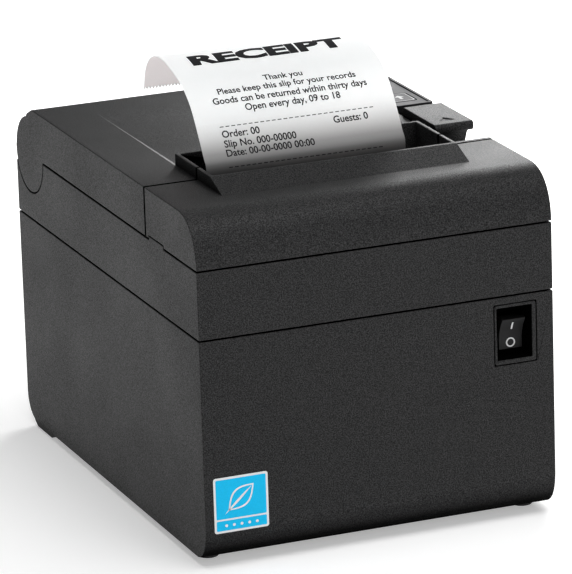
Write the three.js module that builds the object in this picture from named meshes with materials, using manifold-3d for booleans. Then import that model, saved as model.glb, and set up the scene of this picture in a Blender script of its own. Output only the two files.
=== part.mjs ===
// Desktop thermal receipt printer with a clamshell roll cover, 140 mm wide, for 80 mm paper.
// Millimetres. +Z is up, -Y is the front, +X is the right-hand side seen from the front.
// The origin lies on the surface it stands on, under the middle of the casing.

import * as THREE from "three";
import { ConvexGeometry } from "three/addons/geometries/ConvexGeometry.js";
import { mergeVertices } from "three/addons/utils/BufferGeometryUtils.js";
import Module from "manifold-3d";

const wasm = await Module();
wasm.setup();

// ---------------------------------------------------------------- driving dimensions

const WIDTH = 140;
const DEPTH = 195.6;
const CASE_BOTTOM = 2.5; // the feet lift the casing off the table
const BASE_TOP = 87.5; // seam between the base and the middle housing
const MIDDLE_TOP = 113.3; // seam between the middle housing and the covers
const TOP = 132.7;
const COLLAR_TOP = 137.2; // rim of the paper exit

const WALL = 2.4;
const SEAM = 0.6; // width of a visible joint line
const GAP = 0.3; // clearance between touching pieces
const OVER = 5; // how far a cutting tool runs past what it cuts

const RIGHT = WIDTH / 2;
const LEFT = -RIGHT;
const BACK = DEPTH / 2;
const FRONT = -BACK;
const COVER_SPLIT = -46; // the front cover ends here and the roll cover begins

// Roll cover hinge, on the side view's (y, z)
const HINGE = { y: 82.2, z: 114.2 };
const HUMP_R = 15.4; // the rounded back of the cover turns about the hinge
const HUMP_CUT_R = 15.9;
const HINGE_PIN_R = 2;
const COVER_RIGHT = 53.2; // the roll cover stops here and the console begins
const CONSOLE_LEFT = COVER_RIGHT + SEAM;

// Paper path
const PAPER_LEFT = -46.6;
const PAPER_WIDTH = 79.5; // nominal 80 mm receipt paper
const PAPER_RIGHT = PAPER_LEFT + PAPER_WIDTH;
const PAPER_THICK = 0.25;
const ROLL = { y: 38, z: 59.8, r: 40, bore: 9.2 };
const BUCKET = { y: 38, z: 62, r: 42.5, wall: 2 };
const PLATEN = { y: -41.8, z: 108, r: 6, shaft: 2 };
const WEB_Y = -48.25; // the paper stands upright here between the platen and the head
const CUT_Z = 120.1; // height at which the blade crosses the paper

// Paper exit collar
const THROAT_X = 47.6;
const COLLAR_X = 49.2;
const COLLAR_FRONT = -60.1;
const COLLAR_BACK = -24.1;
const RAMP_FRONT = -72;

// Drive train: gear centres on the side view's (y, z)
const GEAR_MODULE = 0.8;
const GEAR_X = [41, 45];
const PLATEN_TEETH = 22;
const IDLER_TEETH = 26;
const PINION_TEETH = 12;
const IDLER_TILT = 0.17; // how far the idler leans forward of straight below the platen, radians
const PINION_ANGLE = 3.69; // direction from the idler to the motor pinion, radians

// Cutter
const BLADE_THICK = 0.6;
const CUTTER_TEETH = 12;

// Lever, control panel and power switch
const LEVER = { x0: 54.1, x1: RIGHT, front: -29, back: 2.2, top: 135.6, thick: 3.6 };
const LEVER_PIVOT = { y: 0, z: 128.6, r: 1.5 };
const PANEL = { x0: 54.2, x1: RIGHT, y0: 8.9, y1: 66, z0: 131.3, z1: 134.3 };
const KEY = { x0: 56.6, x1: 66, y0: 15.8, y1: 27.6 };
const BEZEL = { x0: 46.3, x1: 63, z0: 61.3, z1: 84.2 };
const WELL = { x0: 47.3, x1: 61.4, z0: 62.9, z1: 83.1, depth: 8.2 };
const ROCKER = { x0: 50.9, x1: 60.3, y: -87, z: 71 };

// ---------------------------------------------------------------- materials

const finish = (color, roughness, metalness = 0) =>
  new THREE.MeshStandardMaterial({ color, roughness, metalness });

const MATERIAL = {
  casing: finish(0x3b3b3c, 0.62),
  darkPlastic: finish(0x161617, 0.5),
  innerPlastic: finish(0x2a2a2b, 0.6),
  rubber: finish(0x1d1d1d, 0.9),
  steel: finish(0xa9adb0, 0.35, 1),
  blade: finish(0xc4c8cc, 0.25, 1),
  aluminium: finish(0xb9bcbf, 0.4, 1),
  ceramic: finish(0xd9d2c4, 0.3),
  gear: finish(0x2b2b2d, 0.45),
  circuit: finish(0x1c5a35, 0.5),
  paper: finish(0xf2f1ee, 0.8),
  label: finish(0x27b2e0, 0.4),
  panel: finish(0x7b7c7e, 0.4),
  lens: finish(0x3a5a3c, 0.2),
  core: finish(0x8c6f4e, 0.8),
  black: finish(0x0d0d0e, 0.35),
};

// ---------------------------------------------------------------- solids

function toSolid(geometry) {
  const bare = geometry.index ? geometry.toNonIndexed() : geometry.clone();
  bare.deleteAttribute("normal");
  bare.deleteAttribute("uv");
  const merged = mergeVertices(bare, 1e-4);
  return new wasm.Manifold(
    new wasm.Mesh({
      numProp: 3,
      vertProperties: merged.attributes.position.array,
      triVerts: new Uint32Array(merged.index.array),
    }),
  );
}

function toGeometry(solid) {
  const mesh = solid.getMesh();
  const geometry = new THREE.BufferGeometry();
  geometry.setAttribute("position", new THREE.BufferAttribute(mesh.vertProperties, 3));
  geometry.setIndex(new THREE.BufferAttribute(mesh.triVerts, 1));
  geometry.computeVertexNormals();
  return geometry;
}

const join = (...solids) => solids.reduce((a, b) => a.add(b));
const cut = (solid, ...tools) => tools.reduce((a, b) => a.subtract(b), solid);

function box(x0, x1, y0, y1, z0, z1) {
  const geometry = new THREE.BoxGeometry(x1 - x0, y1 - y0, z1 - z0);
  return toSolid(geometry.translate((x0 + x1) / 2, (y0 + y1) / 2, (z0 + z1) / 2));
}

function prism(outline, length) {
  const shape = new THREE.Shape(outline.map(([a, b]) => new THREE.Vector2(a, b)));
  return new THREE.ExtrudeGeometry(shape, { depth: length, bevelEnabled: false });
}

// A prism along X from a side outline of (y, z) points.
function prismX(outline, x0, x1) {
  const turn = new THREE.Matrix4().set(0, 0, 1, x0, 1, 0, 0, 0, 0, 1, 0, 0, 0, 0, 0, 1);
  return toSolid(prism(outline, x1 - x0).applyMatrix4(turn));
}

// A prism along Y from a front outline of (x, z) points.
function prismY(outline, y0, y1) {
  const turn = new THREE.Matrix4().set(1, 0, 0, 0, 0, 0, -1, y1, 0, 1, 0, 0, 0, 0, 0, 1);
  return toSolid(prism(outline, y1 - y0).applyMatrix4(turn));
}

// A prism along Z from a plan outline of (x, y) points.
function prismZ(outline, z0, z1) {
  return toSolid(prism(outline, z1 - z0).translate(0, 0, z0));
}

const hull = (points) => toSolid(new ConvexGeometry(points.map((p) => new THREE.Vector3(...p))));

// Points on an arc about (a, b), from one angle to another, both in degrees.
function arc(a, b, r, from, to, steps) {
  return Array.from({ length: steps + 1 }, (_, i) => {
    const t = THREE.MathUtils.degToRad(from + ((to - from) * i) / steps);
    return [a + r * Math.cos(t), b + r * Math.sin(t)];
  });
}

const circle = (a, b, r, steps = 24) => arc(a, b, r, 0, 360, steps).slice(0, -1);
const rodX = (y, z, r, x0, x1, steps) => prismX(circle(y, z, r, steps), x0, x1);
const rodY = (x, z, r, y0, y1, steps) => prismY(circle(x, z, r, steps), y0, y1);
const rodZ = (x, y, r, z0, z1, steps) => prismZ(circle(x, y, r, steps), z0, z1);
const tubeX = (y, z, r, bore, x0, x1, steps) =>
  cut(rodX(y, z, r, x0, x1, steps), rodX(y, z, bore, x0 - OVER, x1 + OVER, steps));

function roundedRect(a0, a1, b0, b1, r, steps = 3) {
  return [
    ...arc(a0 + r, b0 + r, r, 180, 270, steps),
    ...arc(a1 - r, b0 + r, r, 270, 360, steps),
    ...arc(a1 - r, b1 - r, r, 0, 90, steps),
    ...arc(a0 + r, b1 - r, r, 90, 180, steps),
  ];
}

// A gear's outline of straight-sided teeth. phase is the angle of the middle of one tooth.
function gearOutline(a, b, teeth, phase) {
  const pitch = (teeth * GEAR_MODULE) / 2;
  const step = (2 * Math.PI) / teeth;
  const corners = [
    [pitch - 1.15 * GEAR_MODULE, -0.27],
    [pitch + 0.9 * GEAR_MODULE, -0.11],
    [pitch + 0.9 * GEAR_MODULE, 0.11],
    [pitch - 1.15 * GEAR_MODULE, 0.27],
  ];
  const outline = [];
  for (let i = 0; i < teeth; i++)
    for (const [r, turn] of corners) {
      const t = phase + step * (i + turn);
      outline.push([a + r * Math.cos(t), b + r * Math.sin(t)]);
    }
  return outline;
}

// The phase that a gear needs to mesh with another one: its gap faces the other's tooth.
function meshPhase(otherPhase, otherTeeth, teeth, direction) {
  const turns = ((otherPhase - direction) * otherTeeth) / (2 * Math.PI);
  return direction + Math.PI - ((turns + 0.5) * 2 * Math.PI) / teeth;
}

// ---------------------------------------------------------------- shared outlines

// Half height of the rounded front, as a share, at a share of its depth.
const FRONT_SQUARENESS = 2.25;

// The front cover's side outline, shrunk by an inset to give the inner face.
function frontCoverOutline(inset, bottom) {
  const centre = -80;
  const a = centre - FRONT - inset;
  const b = TOP - MIDDLE_TOP - inset;
  const steps = 20;
  const curve = Array.from({ length: steps + 1 }, (_, i) => {
    const t = ((i / steps) * Math.PI) / 2;
    const y = centre - a * Math.sin(t) ** (2 / FRONT_SQUARENESS);
    const z = MIDDLE_TOP + b * Math.cos(t) ** (2 / FRONT_SQUARENESS);
    return [y, Math.max(z, bottom)];
  });
  const back = COVER_SPLIT - SEAM + (inset ? OVER : 0);
  return [[back, bottom], [back, TOP - inset], ...curve.slice(0, -1), [FRONT + inset, bottom]];
}

// The side outline shared by the roll cover and the console: a flat top, a small shoulder and the hump.
function rearCoverOutline() {
  return [
    [COVER_SPLIT, MIDDLE_TOP + SEAM],
    ...arc(HINGE.y, HINGE.z, HUMP_R, 181, 360, 36),
    ...arc(HINGE.y - 0.3, HINGE.z - 0.8, HUMP_R, 8, 80, 16),
    [84.2, 129.3],
    [83.4, 130.1],
    [80.6, 131.3],
    [78.6, 132.3],
    [76.5, TOP],
    [COVER_SPLIT, TOP],
  ];
}

// What is hollow under that outline. The rear skin ends below the hinge, at the angle skinEnd.
function rearHollowOutline(front) {
  const skinEnd = -30;
  const [outY, outZ] = arc(HINGE.y, HINGE.z, HUMP_R + OVER, skinEnd, skinEnd, 1)[0];
  return [
    [front, 90],
    [outY, 90],
    [outY, outZ],
    ...arc(HINGE.y, HINGE.z - 0.8, HUMP_R - WALL, skinEnd, 83, 16),
    [77, TOP - WALL],
    [front, TOP - WALL],
  ];
}

// A rectangular ring that follows the casing, between two distances in from its outer face.
function casingRing(outer, inner, z0, z1) {
  return cut(
    box(LEFT + outer, RIGHT - outer, FRONT + outer, BACK - outer, z0, z1),
    box(LEFT + inner, RIGHT - inner, FRONT + inner, BACK - inner, z0 - OVER, z1 + OVER),
  );
}

// ---------------------------------------------------------------- casing

function baseHousing() {
  const frontCurve = new THREE.QuadraticBezierCurve(
    new THREE.Vector2(FRONT, 16),
    new THREE.Vector2(FRONT + 0.6, 4),
    new THREE.Vector2(-88.5, CASE_BOTTOM),
  );
  const backCorner = 10;
  const outline = [
    [FRONT, BASE_TOP - SEAM / 2],
    ...frontCurve.getPoints(6).map((p) => [p.x, p.y]),
    ...arc(BACK - backCorner, CASE_BOTTOM + backCorner, backCorner, 270, 360, 6),
    [BACK, BASE_TOP - SEAM / 2],
  ];
  const shell = cut(
    prismX(outline, LEFT, RIGHT),
    box(LEFT + WALL, RIGHT - WALL, -86, BACK - 7, CASE_BOTTOM + WALL, BASE_TOP + OVER),
    box(LEFT + WALL, RIGHT - WALL, FRONT + WALL, BACK - WALL, 14, BASE_TOP + OVER),
  );
  const lip = join(casingRing(WALL - 0.5, 4.1, 80, 84), casingRing(WALL + GAP, 4.1, 80, 90));
  return cut(
    join(shell, lip),
    box(BEZEL.x0 - GAP, BEZEL.x1 + GAP, FRONT - OVER, FRONT + 9, BEZEL.z0 - GAP, BEZEL.z1 + GAP),
    box(-52, 56, 80, BACK + OVER, 7, 34),
    ...SCREW_PLACES.map(([x, y]) => rodZ(x, y, 3.4, -OVER, 3.9, 16)),
    ...SCREW_PLACES.map(([x, y]) => rodZ(x, y, 1.8, 0, 9, 12)),
  );
}

function middleHousing() {
  const walls = casingRing(0, WALL, BASE_TOP + SEAM / 2, MIDDLE_TOP);
  const shelf = cut(
    box(LEFT + 1, RIGHT - 1, FRONT + 1, BACK - 1, 93.8, 96),
    box(-53.5, 55.5, -92, -10, 90, 100),
    box(-53.5, 47, -12, 85, 90, 100),
  );
  const lip = join(casingRing(WALL - 0.5, 4.1, 108, 112), casingRing(WALL + GAP, 4.1, 108, 116));
  const coverLip = cut(
    lip,
    box(LEFT, RIGHT, 60, BACK, 100, 120),
    box(42, RIGHT, FRONT, BACK, 110, 120),
    box(LEFT, -60, COVER_SPLIT - 1, 70, 112.9, 120),
  );
  const coverTab = box(LEFT, LEFT + 1.4, -64.4, -49.5, MIDDLE_TOP - 1, MIDDLE_TOP + 1.4);
  const hingeArm = prismX(
    [
      [56, 100], [66, 103.6], [79, 108.8],
      ...arc(HINGE.y, HINGE.z, 6, -60, 100, 10),
      [74, 119], [60, 112.8], [56, 112.8],
    ],
    LEFT + WALL + 0.9,
    LEFT + WALL + 4,
  );
  const armRoot = box(LEFT + 1, LEFT + WALL + 4, 56, 63.5, 100, 112.8);
  return cut(
    join(walls, shelf, coverLip, coverTab),
    rodX(HINGE.y, HINGE.z, HUMP_CUT_R, LEFT - OVER, RIGHT + OVER, 60),
    box(LEFT - OVER, RIGHT + OVER, HINGE.y, BACK + OVER, 108.2, 130),
  )
    .add(join(armRoot, hingeArm))
    .subtract(rodX(HINGE.y, HINGE.z, HINGE_PIN_R + GAP, LEFT, LEFT + 9));
}

function frontCover() {
  const skin = cut(
    prismX(frontCoverOutline(0, MIDDLE_TOP + SEAM), LEFT, RIGHT),
    prismX(frontCoverOutline(WALL, MIDDLE_TOP - OVER), LEFT + WALL, RIGHT - WALL),
  );
  const ramp = prismX(
    [
      [RAMP_FRONT, TOP - 1],
      [RAMP_FRONT, TOP],
      [COLLAR_FRONT, COLLAR_TOP],
      [COVER_SPLIT - SEAM, COLLAR_TOP],
      [COVER_SPLIT - SEAM, 122.8],
      [COLLAR_FRONT, 122.8],
      [COLLAR_FRONT, TOP - 1],
    ],
    -COLLAR_X,
    COLLAR_X,
  );
  const throat = box(-THROAT_X, THROAT_X, COLLAR_FRONT + 1.5, COVER_SPLIT + OVER, 110, 150);
  const tabNotch = box(LEFT - OVER, LEFT + 1.7, -64.7, -49.2, 110, MIDDLE_TOP + 1.7);
  return cut(join(skin, ramp), throat, tabNotch);
}

function rollCover() {
  const shell = cut(
    prismX(rearCoverOutline(), LEFT, COVER_RIGHT),
    prismX(rearHollowOutline(COVER_SPLIT + 2), LEFT + WALL, COVER_RIGHT - WALL),
  );
  const collar = box(-COLLAR_X, COLLAR_X, COVER_SPLIT, COLLAR_BACK, 116, COLLAR_TOP);
  const throat = box(-THROAT_X, THROAT_X, COVER_SPLIT - OVER, COLLAR_BACK - 1.6, 90, 150);
  const sunkenPanel = hull([
    [-COLLAR_X, COLLAR_BACK, TOP], [COLLAR_X, COLLAR_BACK, TOP],
    [-COLLAR_X + 2.2, COLLAR_BACK, TOP - 1.2], [COLLAR_X - 2.2, COLLAR_BACK, TOP - 1.2],
    [-COLLAR_X, 60.8, TOP], [COLLAR_X, 60.8, TOP],
    [-COLLAR_X, COLLAR_BACK, TOP + OVER], [COLLAR_X, COLLAR_BACK, TOP + OVER],
    [-COLLAR_X, 60.8, TOP + OVER], [COLLAR_X, 60.8, TOP + OVER],
  ]);
  const arm = (x0, x1) =>
    prismX([[-44.8, 103.5], [-38.8, 103.5], [-30, 118], [-30, 124], [-44.8, 124]], x0, x1);
  const armBrace = box(33.9, 35.5, -44.8, COLLAR_BACK, 116, 122);
  const bladeSeat = box(-47.4, 35, -44.8, COLLAR_BACK - 1, 116.2, 118.2);
  return cut(
    join(cut(shell, sunkenPanel), collar),
    throat,
  )
    .add(join(arm(-COLLAR_X, -47.5), arm(33.9, 35.5), armBrace, bladeSeat))
    .subtract(rodX(PLATEN.y, PLATEN.z, PLATEN.shaft + GAP, -60, 60))
    .subtract(rodX(HINGE.y, HINGE.z, HINGE_PIN_R + GAP, LEFT + 0.8, 60));
}

function consoleHousing() {
  const shell = cut(
    prismX(rearCoverOutline(), CONSOLE_LEFT, RIGHT),
    prismX(rearHollowOutline(COVER_SPLIT + 2.8), CONSOLE_LEFT + WALL, RIGHT - WALL),
  );
  const pocket = box(CONSOLE_LEFT - OVER, RIGHT + OVER, COVER_SPLIT + 2.8, PANEL.y0 - 0.4, 119, 150);
  const pocketFloor = box(CONSOLE_LEFT + 1, RIGHT - 1, COVER_SPLIT + 1, PANEL.y0 + 1, 116.8, 119);
  const pocketBack = box(CONSOLE_LEFT + 1, RIGHT - 1, PANEL.y0 - 0.4, PANEL.y0 + 1.8, 117, 130.9);
  const deck = box(CONSOLE_LEFT + 1, RIGHT - 1, PANEL.y0, PANEL.y1 + 2.4, 128, 131);
  const panelSeat = box(CONSOLE_LEFT - OVER, RIGHT + OVER, PANEL.y0 - 1, PANEL.y1 + GAP, 131, 150);
  const keyWell = box(KEY.x0 - 0.6, KEY.x1 + 0.6, KEY.y0 - 0.6, KEY.y1 + 0.6, 129.4, 140);
  const pivotEar = (x0, x1) =>
    prismX([[-3.6, 118], [3.6, 118], ...arc(LEVER_PIVOT.y, LEVER_PIVOT.z, 3.2, 0, 180, 8)], x0, x1);
  const ears = [pivotEar(54.6, 56.4), pivotEar(67.8, 69.6)];
  const body = join(cut(shell, pocket), pocketFloor, pocketBack, deck, ...ears);
  return cut(
    body,
    panelSeat,
    keyWell,
    box(57.4, 67, -19.5, -4.5, 110, 125),
    rodX(LEVER_PIVOT.y, LEVER_PIVOT.z, LEVER_PIVOT.r + GAP, 50, RIGHT + OVER),
    rodX(HINGE.y, HINGE.z, HINGE_PIN_R + GAP, 50, 60),
  );
}

// A rear foot: a flat pad flush with the casing's side, whose two ends slope up to the casing.
function rearFoot(side) {
  const x1 = side * (RIGHT - 0.6);
  const x0 = side * (RIGHT - 12);
  const half = 12.5;
  const points = [];
  for (const [reach, z] of [[half, CASE_BOTTOM - 0.02], [half - 4.5, 0]])
    for (const x of [x0, x1]) for (const s of [-1, 1]) points.push([x, 81 + s * reach, z]);
  return hull(points);
}

// A front foot: a small round pad with a bevelled rim.
function frontFoot(side) {
  const rings = [[4.2, CASE_BOTTOM - 0.02], [4.2, 0.5], [3.8, 0]];
  return hull(rings.flatMap(([r, z]) => arc(side * 63.3, -81.2, r, 0, 345, 23).map(([x, y]) => [x, y, z])));
}

const SCREW_PLACES = [[-50, -72], [50, -72], [-50, 72], [50, 72]];

function caseScrew([x, y]) {
  const head = rodZ(x, y, 3, 2.1, 3.6, 14);
  const shank = rodZ(x, y, 1.4, 3, 8.6, 10);
  const recess = box(x - 0.5, x + 0.5, y - 2, y + 2, 1, 2.7);
  return cut(join(head, shank), recess);
}

// ---------------------------------------------------------------- paper

function rollBucket() {
  const tangent = new THREE.Vector2(-0.7928, -0.6094); // from the bucket's centre to where its slope begins
  const along = new THREE.Vector2(-0.6094, 0.7928);
  const onSlope = (r, t) => [
    BUCKET.y + tangent.x * r + along.x * t,
    BUCKET.z + tangent.y * r + along.y * t,
  ];
  const startAngle = THREE.MathUtils.radToDeg(Math.atan2(tangent.y, tangent.x)) + 360;
  const slope = 66;
  const inner = arc(BUCKET.y, BUCKET.z, BUCKET.r, startAngle, 360, 22);
  const outer = arc(BUCKET.y, BUCKET.z, BUCKET.r + BUCKET.wall, startAngle, 360, 22);
  const r1 = BUCKET.r + BUCKET.wall;
  const trough = [
    onSlope(BUCKET.r, slope),
    ...inner,
    [BUCKET.y + BUCKET.r, 96.3],
    [BUCKET.y + r1, 96.3],
    ...outer.reverse(),
    onSlope(r1, slope),
  ];
  const side = [onSlope(r1, slope), [BUCKET.y - 40, 96.3], [BUCKET.y + r1, 96.3], ...outer, onSlope(r1, 1)];
  const left = -50.9;
  const right = 36.9;
  const flange = join(
    box(left - 6, left + 1, -30, 80, 96.3, 98),
    box(right - 1, right + 13, -8, 80, 96.3, 98),
  );
  return join(
    prismX(trough, left, right),
    prismX(side, left, left + BUCKET.wall),
    prismX(side, right - BUCKET.wall, right),
    box(left, left + BUCKET.wall, -30, 80, 92, 98),
    box(right - BUCKET.wall, right, -20, 80, 92, 98),
    flange,
  );
}

const ROLL_X = [PAPER_LEFT, PAPER_RIGHT];
const paperRoll = () => tubeX(ROLL.y, ROLL.z, ROLL.r, ROLL.bore, ...ROLL_X, 64);
const rollCore = () => tubeX(ROLL.y, ROLL.z, ROLL.bore - GAP, 6.35, ROLL_X[0] + 0.5, ROLL_X[1] - 0.5, 24);

// A strip of paper along X whose middle line is a list of (y, z) points.
function paperStrip(line, x0, x1) {
  const side = (s) =>
    line.map(([y, z], i) => {
      const [a, b] = [line[Math.max(i - 1, 0)], line[Math.min(i + 1, line.length - 1)]];
      const d = Math.hypot(b[0] - a[0], b[1] - a[1]);
      return [y - (s * (b[1] - a[1])) / d, z + (s * (b[0] - a[0])) / d];
    });
  return prismX([...side(PAPER_THICK / 2), ...side(-PAPER_THICK / 2).reverse()], x0, x1);
}

// From the front of the roll, straight up to the platen, round under it and up to the cutter.
function paperWeb() {
  const wrap = PLATEN.y - WEB_Y;
  const leave = 217.5; // angle at which the paper meets the platen and leaves the roll, degrees
  const start = arc(ROLL.y, ROLL.z, ROLL.r + 0.55, leave, leave, 1)[0];
  const line = [start, ...arc(PLATEN.y, PLATEN.z, wrap, leave, 180, 5), [WEB_Y, CUT_Z - 0.9]];
  return paperStrip(line, ...ROLL_X);
}

// The printed end: up through the collar, then curling back over the cover.
function receipt() {
  const curl = new THREE.SplineCurve(
    [
      [WEB_Y, CUT_Z + 0.9], [-48.6, 129], [-49.6, 137.2], [-47, 141.3], [-43.4, 146.9], [-38.1, 154.4],
      [-33.6, 159.2], [-26.7, 163.7], [-19.8, 166.3], [-12.7, 168.2], [-7.5, 169], [-1.7, 168.9],
      [3.2, 167.2], [7.2, 163.5], [9.6, 159], [11.1, 153.6],
    ].map((p) => new THREE.Vector2(...p)),
  );
  return paperStrip(curl.getPoints(36).map((p) => [p.x, p.y]), ...ROLL_X);
}

// ---------------------------------------------------------------- print mechanism

const CHASSIS = { left: -52.6, right: 39, thick: 1.5, front: -80, back: -31, bottom: 60.5, top: 112.3 };
const MOTOR = { r: 17.5, x0: 16, x1: 37.2 };

const idlerAngle = -Math.PI / 2 - IDLER_TILT;
const gearReach = (a, b) => ((a + b) * GEAR_MODULE) / 2;
const IDLER = {
  y: PLATEN.y + gearReach(PLATEN_TEETH, IDLER_TEETH) * Math.cos(idlerAngle),
  z: PLATEN.z + gearReach(PLATEN_TEETH, IDLER_TEETH) * Math.sin(idlerAngle),
};
const PINION = {
  y: IDLER.y + gearReach(IDLER_TEETH, PINION_TEETH) * Math.cos(PINION_ANGLE),
  z: IDLER.z + gearReach(IDLER_TEETH, PINION_TEETH) * Math.sin(PINION_ANGLE),
};
const idlerPhase = meshPhase(0, PLATEN_TEETH, IDLER_TEETH, idlerAngle);
const pinionPhase = meshPhase(idlerPhase, IDLER_TEETH, PINION_TEETH, PINION_ANGLE);

function mechanismChassis() {
  const c = CHASSIS;
  const side = [[c.front, c.bottom], [-46, c.bottom], [c.back, 86], [c.back, c.top], [c.front, c.top]];
  const frame = join(
    prismX(side, c.left, c.left + c.thick),
    prismX(side, c.right - c.thick, c.right),
    box(c.left, c.right, c.front, c.front + c.thick, c.bottom, c.top),
    box(c.left, c.right, -63.5, -62, 99.5, c.top),
    box(c.left, c.right, c.front, -62, c.bottom, c.bottom + c.thick),
  );
  const notch = 5.4;
  return cut(
    frame,
    rodX(PLATEN.y, PLATEN.z, notch, -60, 60, 32),
    box(-60, 60, PLATEN.y - notch, PLATEN.y + notch, PLATEN.z, 120),
    rodX(PINION.y, PINION.z, 3.2, 30, 60),
    box(-60, c.right - c.thick - 1, -51, -31 + OVER, 78, 90),
  );
}

const stepperMotor = () =>
  join(
    rodX(PINION.y, PINION.z, MOTOR.r, MOTOR.x0, MOTOR.x1, 40),
    rodX(PINION.y, PINION.z, 2.2, MOTOR.x0, GEAR_X[0] - GAP, 16),
    rodX(PINION.y, PINION.z, 1.2, MOTOR.x0, GEAR_X[1] + 1.5, 12),
  );

function gearX(place, teeth, phase, bore, x0 = GEAR_X[0], x1 = GEAR_X[1]) {
  const blank = prismX(gearOutline(place.y, place.z, teeth, phase), x0, x1);
  return cut(blank, rodX(place.y, place.z, bore, x0 - OVER, x1 + OVER, 16));
}

const platenGear = () => gearX(PLATEN, PLATEN_TEETH, 0, PLATEN.shaft + 0.05);
const idlerGear = () =>
  cut(
    gearX(IDLER, IDLER_TEETH, idlerPhase, 1.8),
    tubeX(IDLER.y, IDLER.z, 7.6, 4, GEAR_X[1] - 1, GEAR_X[1] + 1),
  );
const motorPinion = () => gearX(PINION, PINION_TEETH, pinionPhase, 1.25);
const idlerPin = () =>
  join(
    rodX(IDLER.y, IDLER.z, 1.5, CHASSIS.right + 0.02, GEAR_X[1] + 1.4, 16),
    rodX(IDLER.y, IDLER.z, 3, GEAR_X[1] + GAP, GEAR_X[1] + 1.2, 16),
    rodX(IDLER.y, IDLER.z, 3, CHASSIS.right + 0.02, GEAR_X[0] - GAP, 16),
  );

const platenShaft = () => rodX(PLATEN.y, PLATEN.z, PLATEN.shaft, -55, 48.8, 20);
const platenRoller = () =>
  tubeX(PLATEN.y, PLATEN.z, PLATEN.r, PLATEN.shaft + 0.05, PAPER_LEFT - 0.4, PAPER_RIGHT + 0.4, 36);
const platenBearing = (x0, x1) => tubeX(PLATEN.y, PLATEN.z, 5, PLATEN.shaft + 0.05, x0, x1, 28);

const printHead = () => box(PAPER_LEFT - 0.5, PAPER_RIGHT + 0.5, WEB_Y - 1.3, WEB_Y - 0.4, 99, 114);

function headHeatsink() {
  const x0 = PAPER_LEFT - 0.5;
  const x1 = PAPER_RIGHT + 0.5;
  const fins = [99.8, 102, 111.4].map((z) => box(x0, x1, -57.5, -52, z, z + 1));
  return join(box(x0, x1, -53, WEB_Y - 1.5, 99.8, 112.9), ...fins);
}

// A coil spring along Y: a round wire swept round a helix.
function headSpring(x) {
  const coil = new THREE.Curve();
  const turns = 4;
  const [y0, y1] = [-61.4, -53.8];
  coil.getPoint = (t, target = new THREE.Vector3()) => {
    const a = t * turns * 2 * Math.PI;
    return target.set(x + 2.4 * Math.cos(a), y0 + (y1 - y0) * t, 107 + 2.4 * Math.sin(a));
  };
  const wire = new THREE.Shape(circle(0, 0, 0.4, 6).map((p) => new THREE.Vector2(...p)));
  return toSolid(new THREE.ExtrudeGeometry(wire, { steps: 48, extrudePath: coil, bevelEnabled: false }));
}

// The hook that holds the platen shaft down. It turns about a stud on the chassis.
const LATCH = { x0: 46.3, x1: 48, y: -30, z: 92, pin: 1.8 };

function latchHook() {
  const plate = [
    [-34, 90], [-31, 87.5], [-24, 90], [-13, 113], [-16, 114.5], [-27, 97],
    [-34, 104], [-37.2, 113.4], [-44, 113.4], [-44, 110.6], [-38.9, 110.6], [-38.6, 104],
  ];
  return cut(prismX(plate, LATCH.x0, LATCH.x1), rodX(LATCH.y, LATCH.z, LATCH.pin + GAP, 40, 60));
}

const latchStud = () =>
  join(
    rodX(LATCH.y, LATCH.z, LATCH.pin, CHASSIS.right + 0.02, LATCH.x1 + 1.4, 16),
    rodX(LATCH.y, LATCH.z, 3.2, LATCH.x1 + GAP, LATCH.x1 + 1.3, 16),
    rodX(LATCH.y, LATCH.z, 3.2, CHASSIS.right + 0.02, LATCH.x0 - GAP, 16),
  );

const paperSensor = () => box(-12, -4, -56, -50, 84, 88.5);

// ---------------------------------------------------------------- cutter

const RACK_X = PAPER_RIGHT + 3.5;
const CUTTER_PITCH_R = (CUTTER_TEETH * GEAR_MODULE) / 2;
const CUTTER_GEAR = { x: RACK_X + CUTTER_PITCH_R, y: -69 };
const RACK_PITCH = Math.PI * GEAR_MODULE;
const BLADE_Z = CUT_Z - BLADE_THICK / 2;

function cutterFrame() {
  const plate = box(-51, 46, -88, -50.8, 113.2, BLADE_Z - GAP);
  const rail = box(-51, PAPER_LEFT - 1.7, -86, -52, 115, 121.8);
  return cut(
    join(plate, rail),
    rodZ(CUTTER_GEAR.x, CUTTER_GEAR.y, 2.2, 100, 130, 16),
    box(-40, 26, -80, -60, 100, BLADE_Z - 2.5),
  );
}

function movingBlade() {
  const plate = [
    [PAPER_LEFT - 0.6, -76], [RACK_X - 2, -76], [RACK_X - 2, -52], [PAPER_RIGHT + 0.6, -49.6],
    [(PAPER_LEFT + PAPER_RIGHT) / 2, -51.4], [PAPER_LEFT - 0.6, -49.6],
  ];
  const teeth = 9;
  const start = CUTTER_GEAR.y - 4 * RACK_PITCH;
  const rack = [[RACK_X - 3, start - 1]];
  for (let i = 0; i < teeth; i++)
    for (const [x, turn] of [[-0.92, -0.27], [0.72, -0.11], [0.72, 0.11], [-0.92, 0.27]])
      rack.push([RACK_X + x, start + (i + turn) * RACK_PITCH]);
  rack.push([RACK_X - 3, start + (teeth - 1) * RACK_PITCH + 1]);
  return join(
    prismZ(plate, BLADE_Z, BLADE_Z + BLADE_THICK),
    prismZ(rack, BLADE_Z, BLADE_Z + 2),
  );
}

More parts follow.
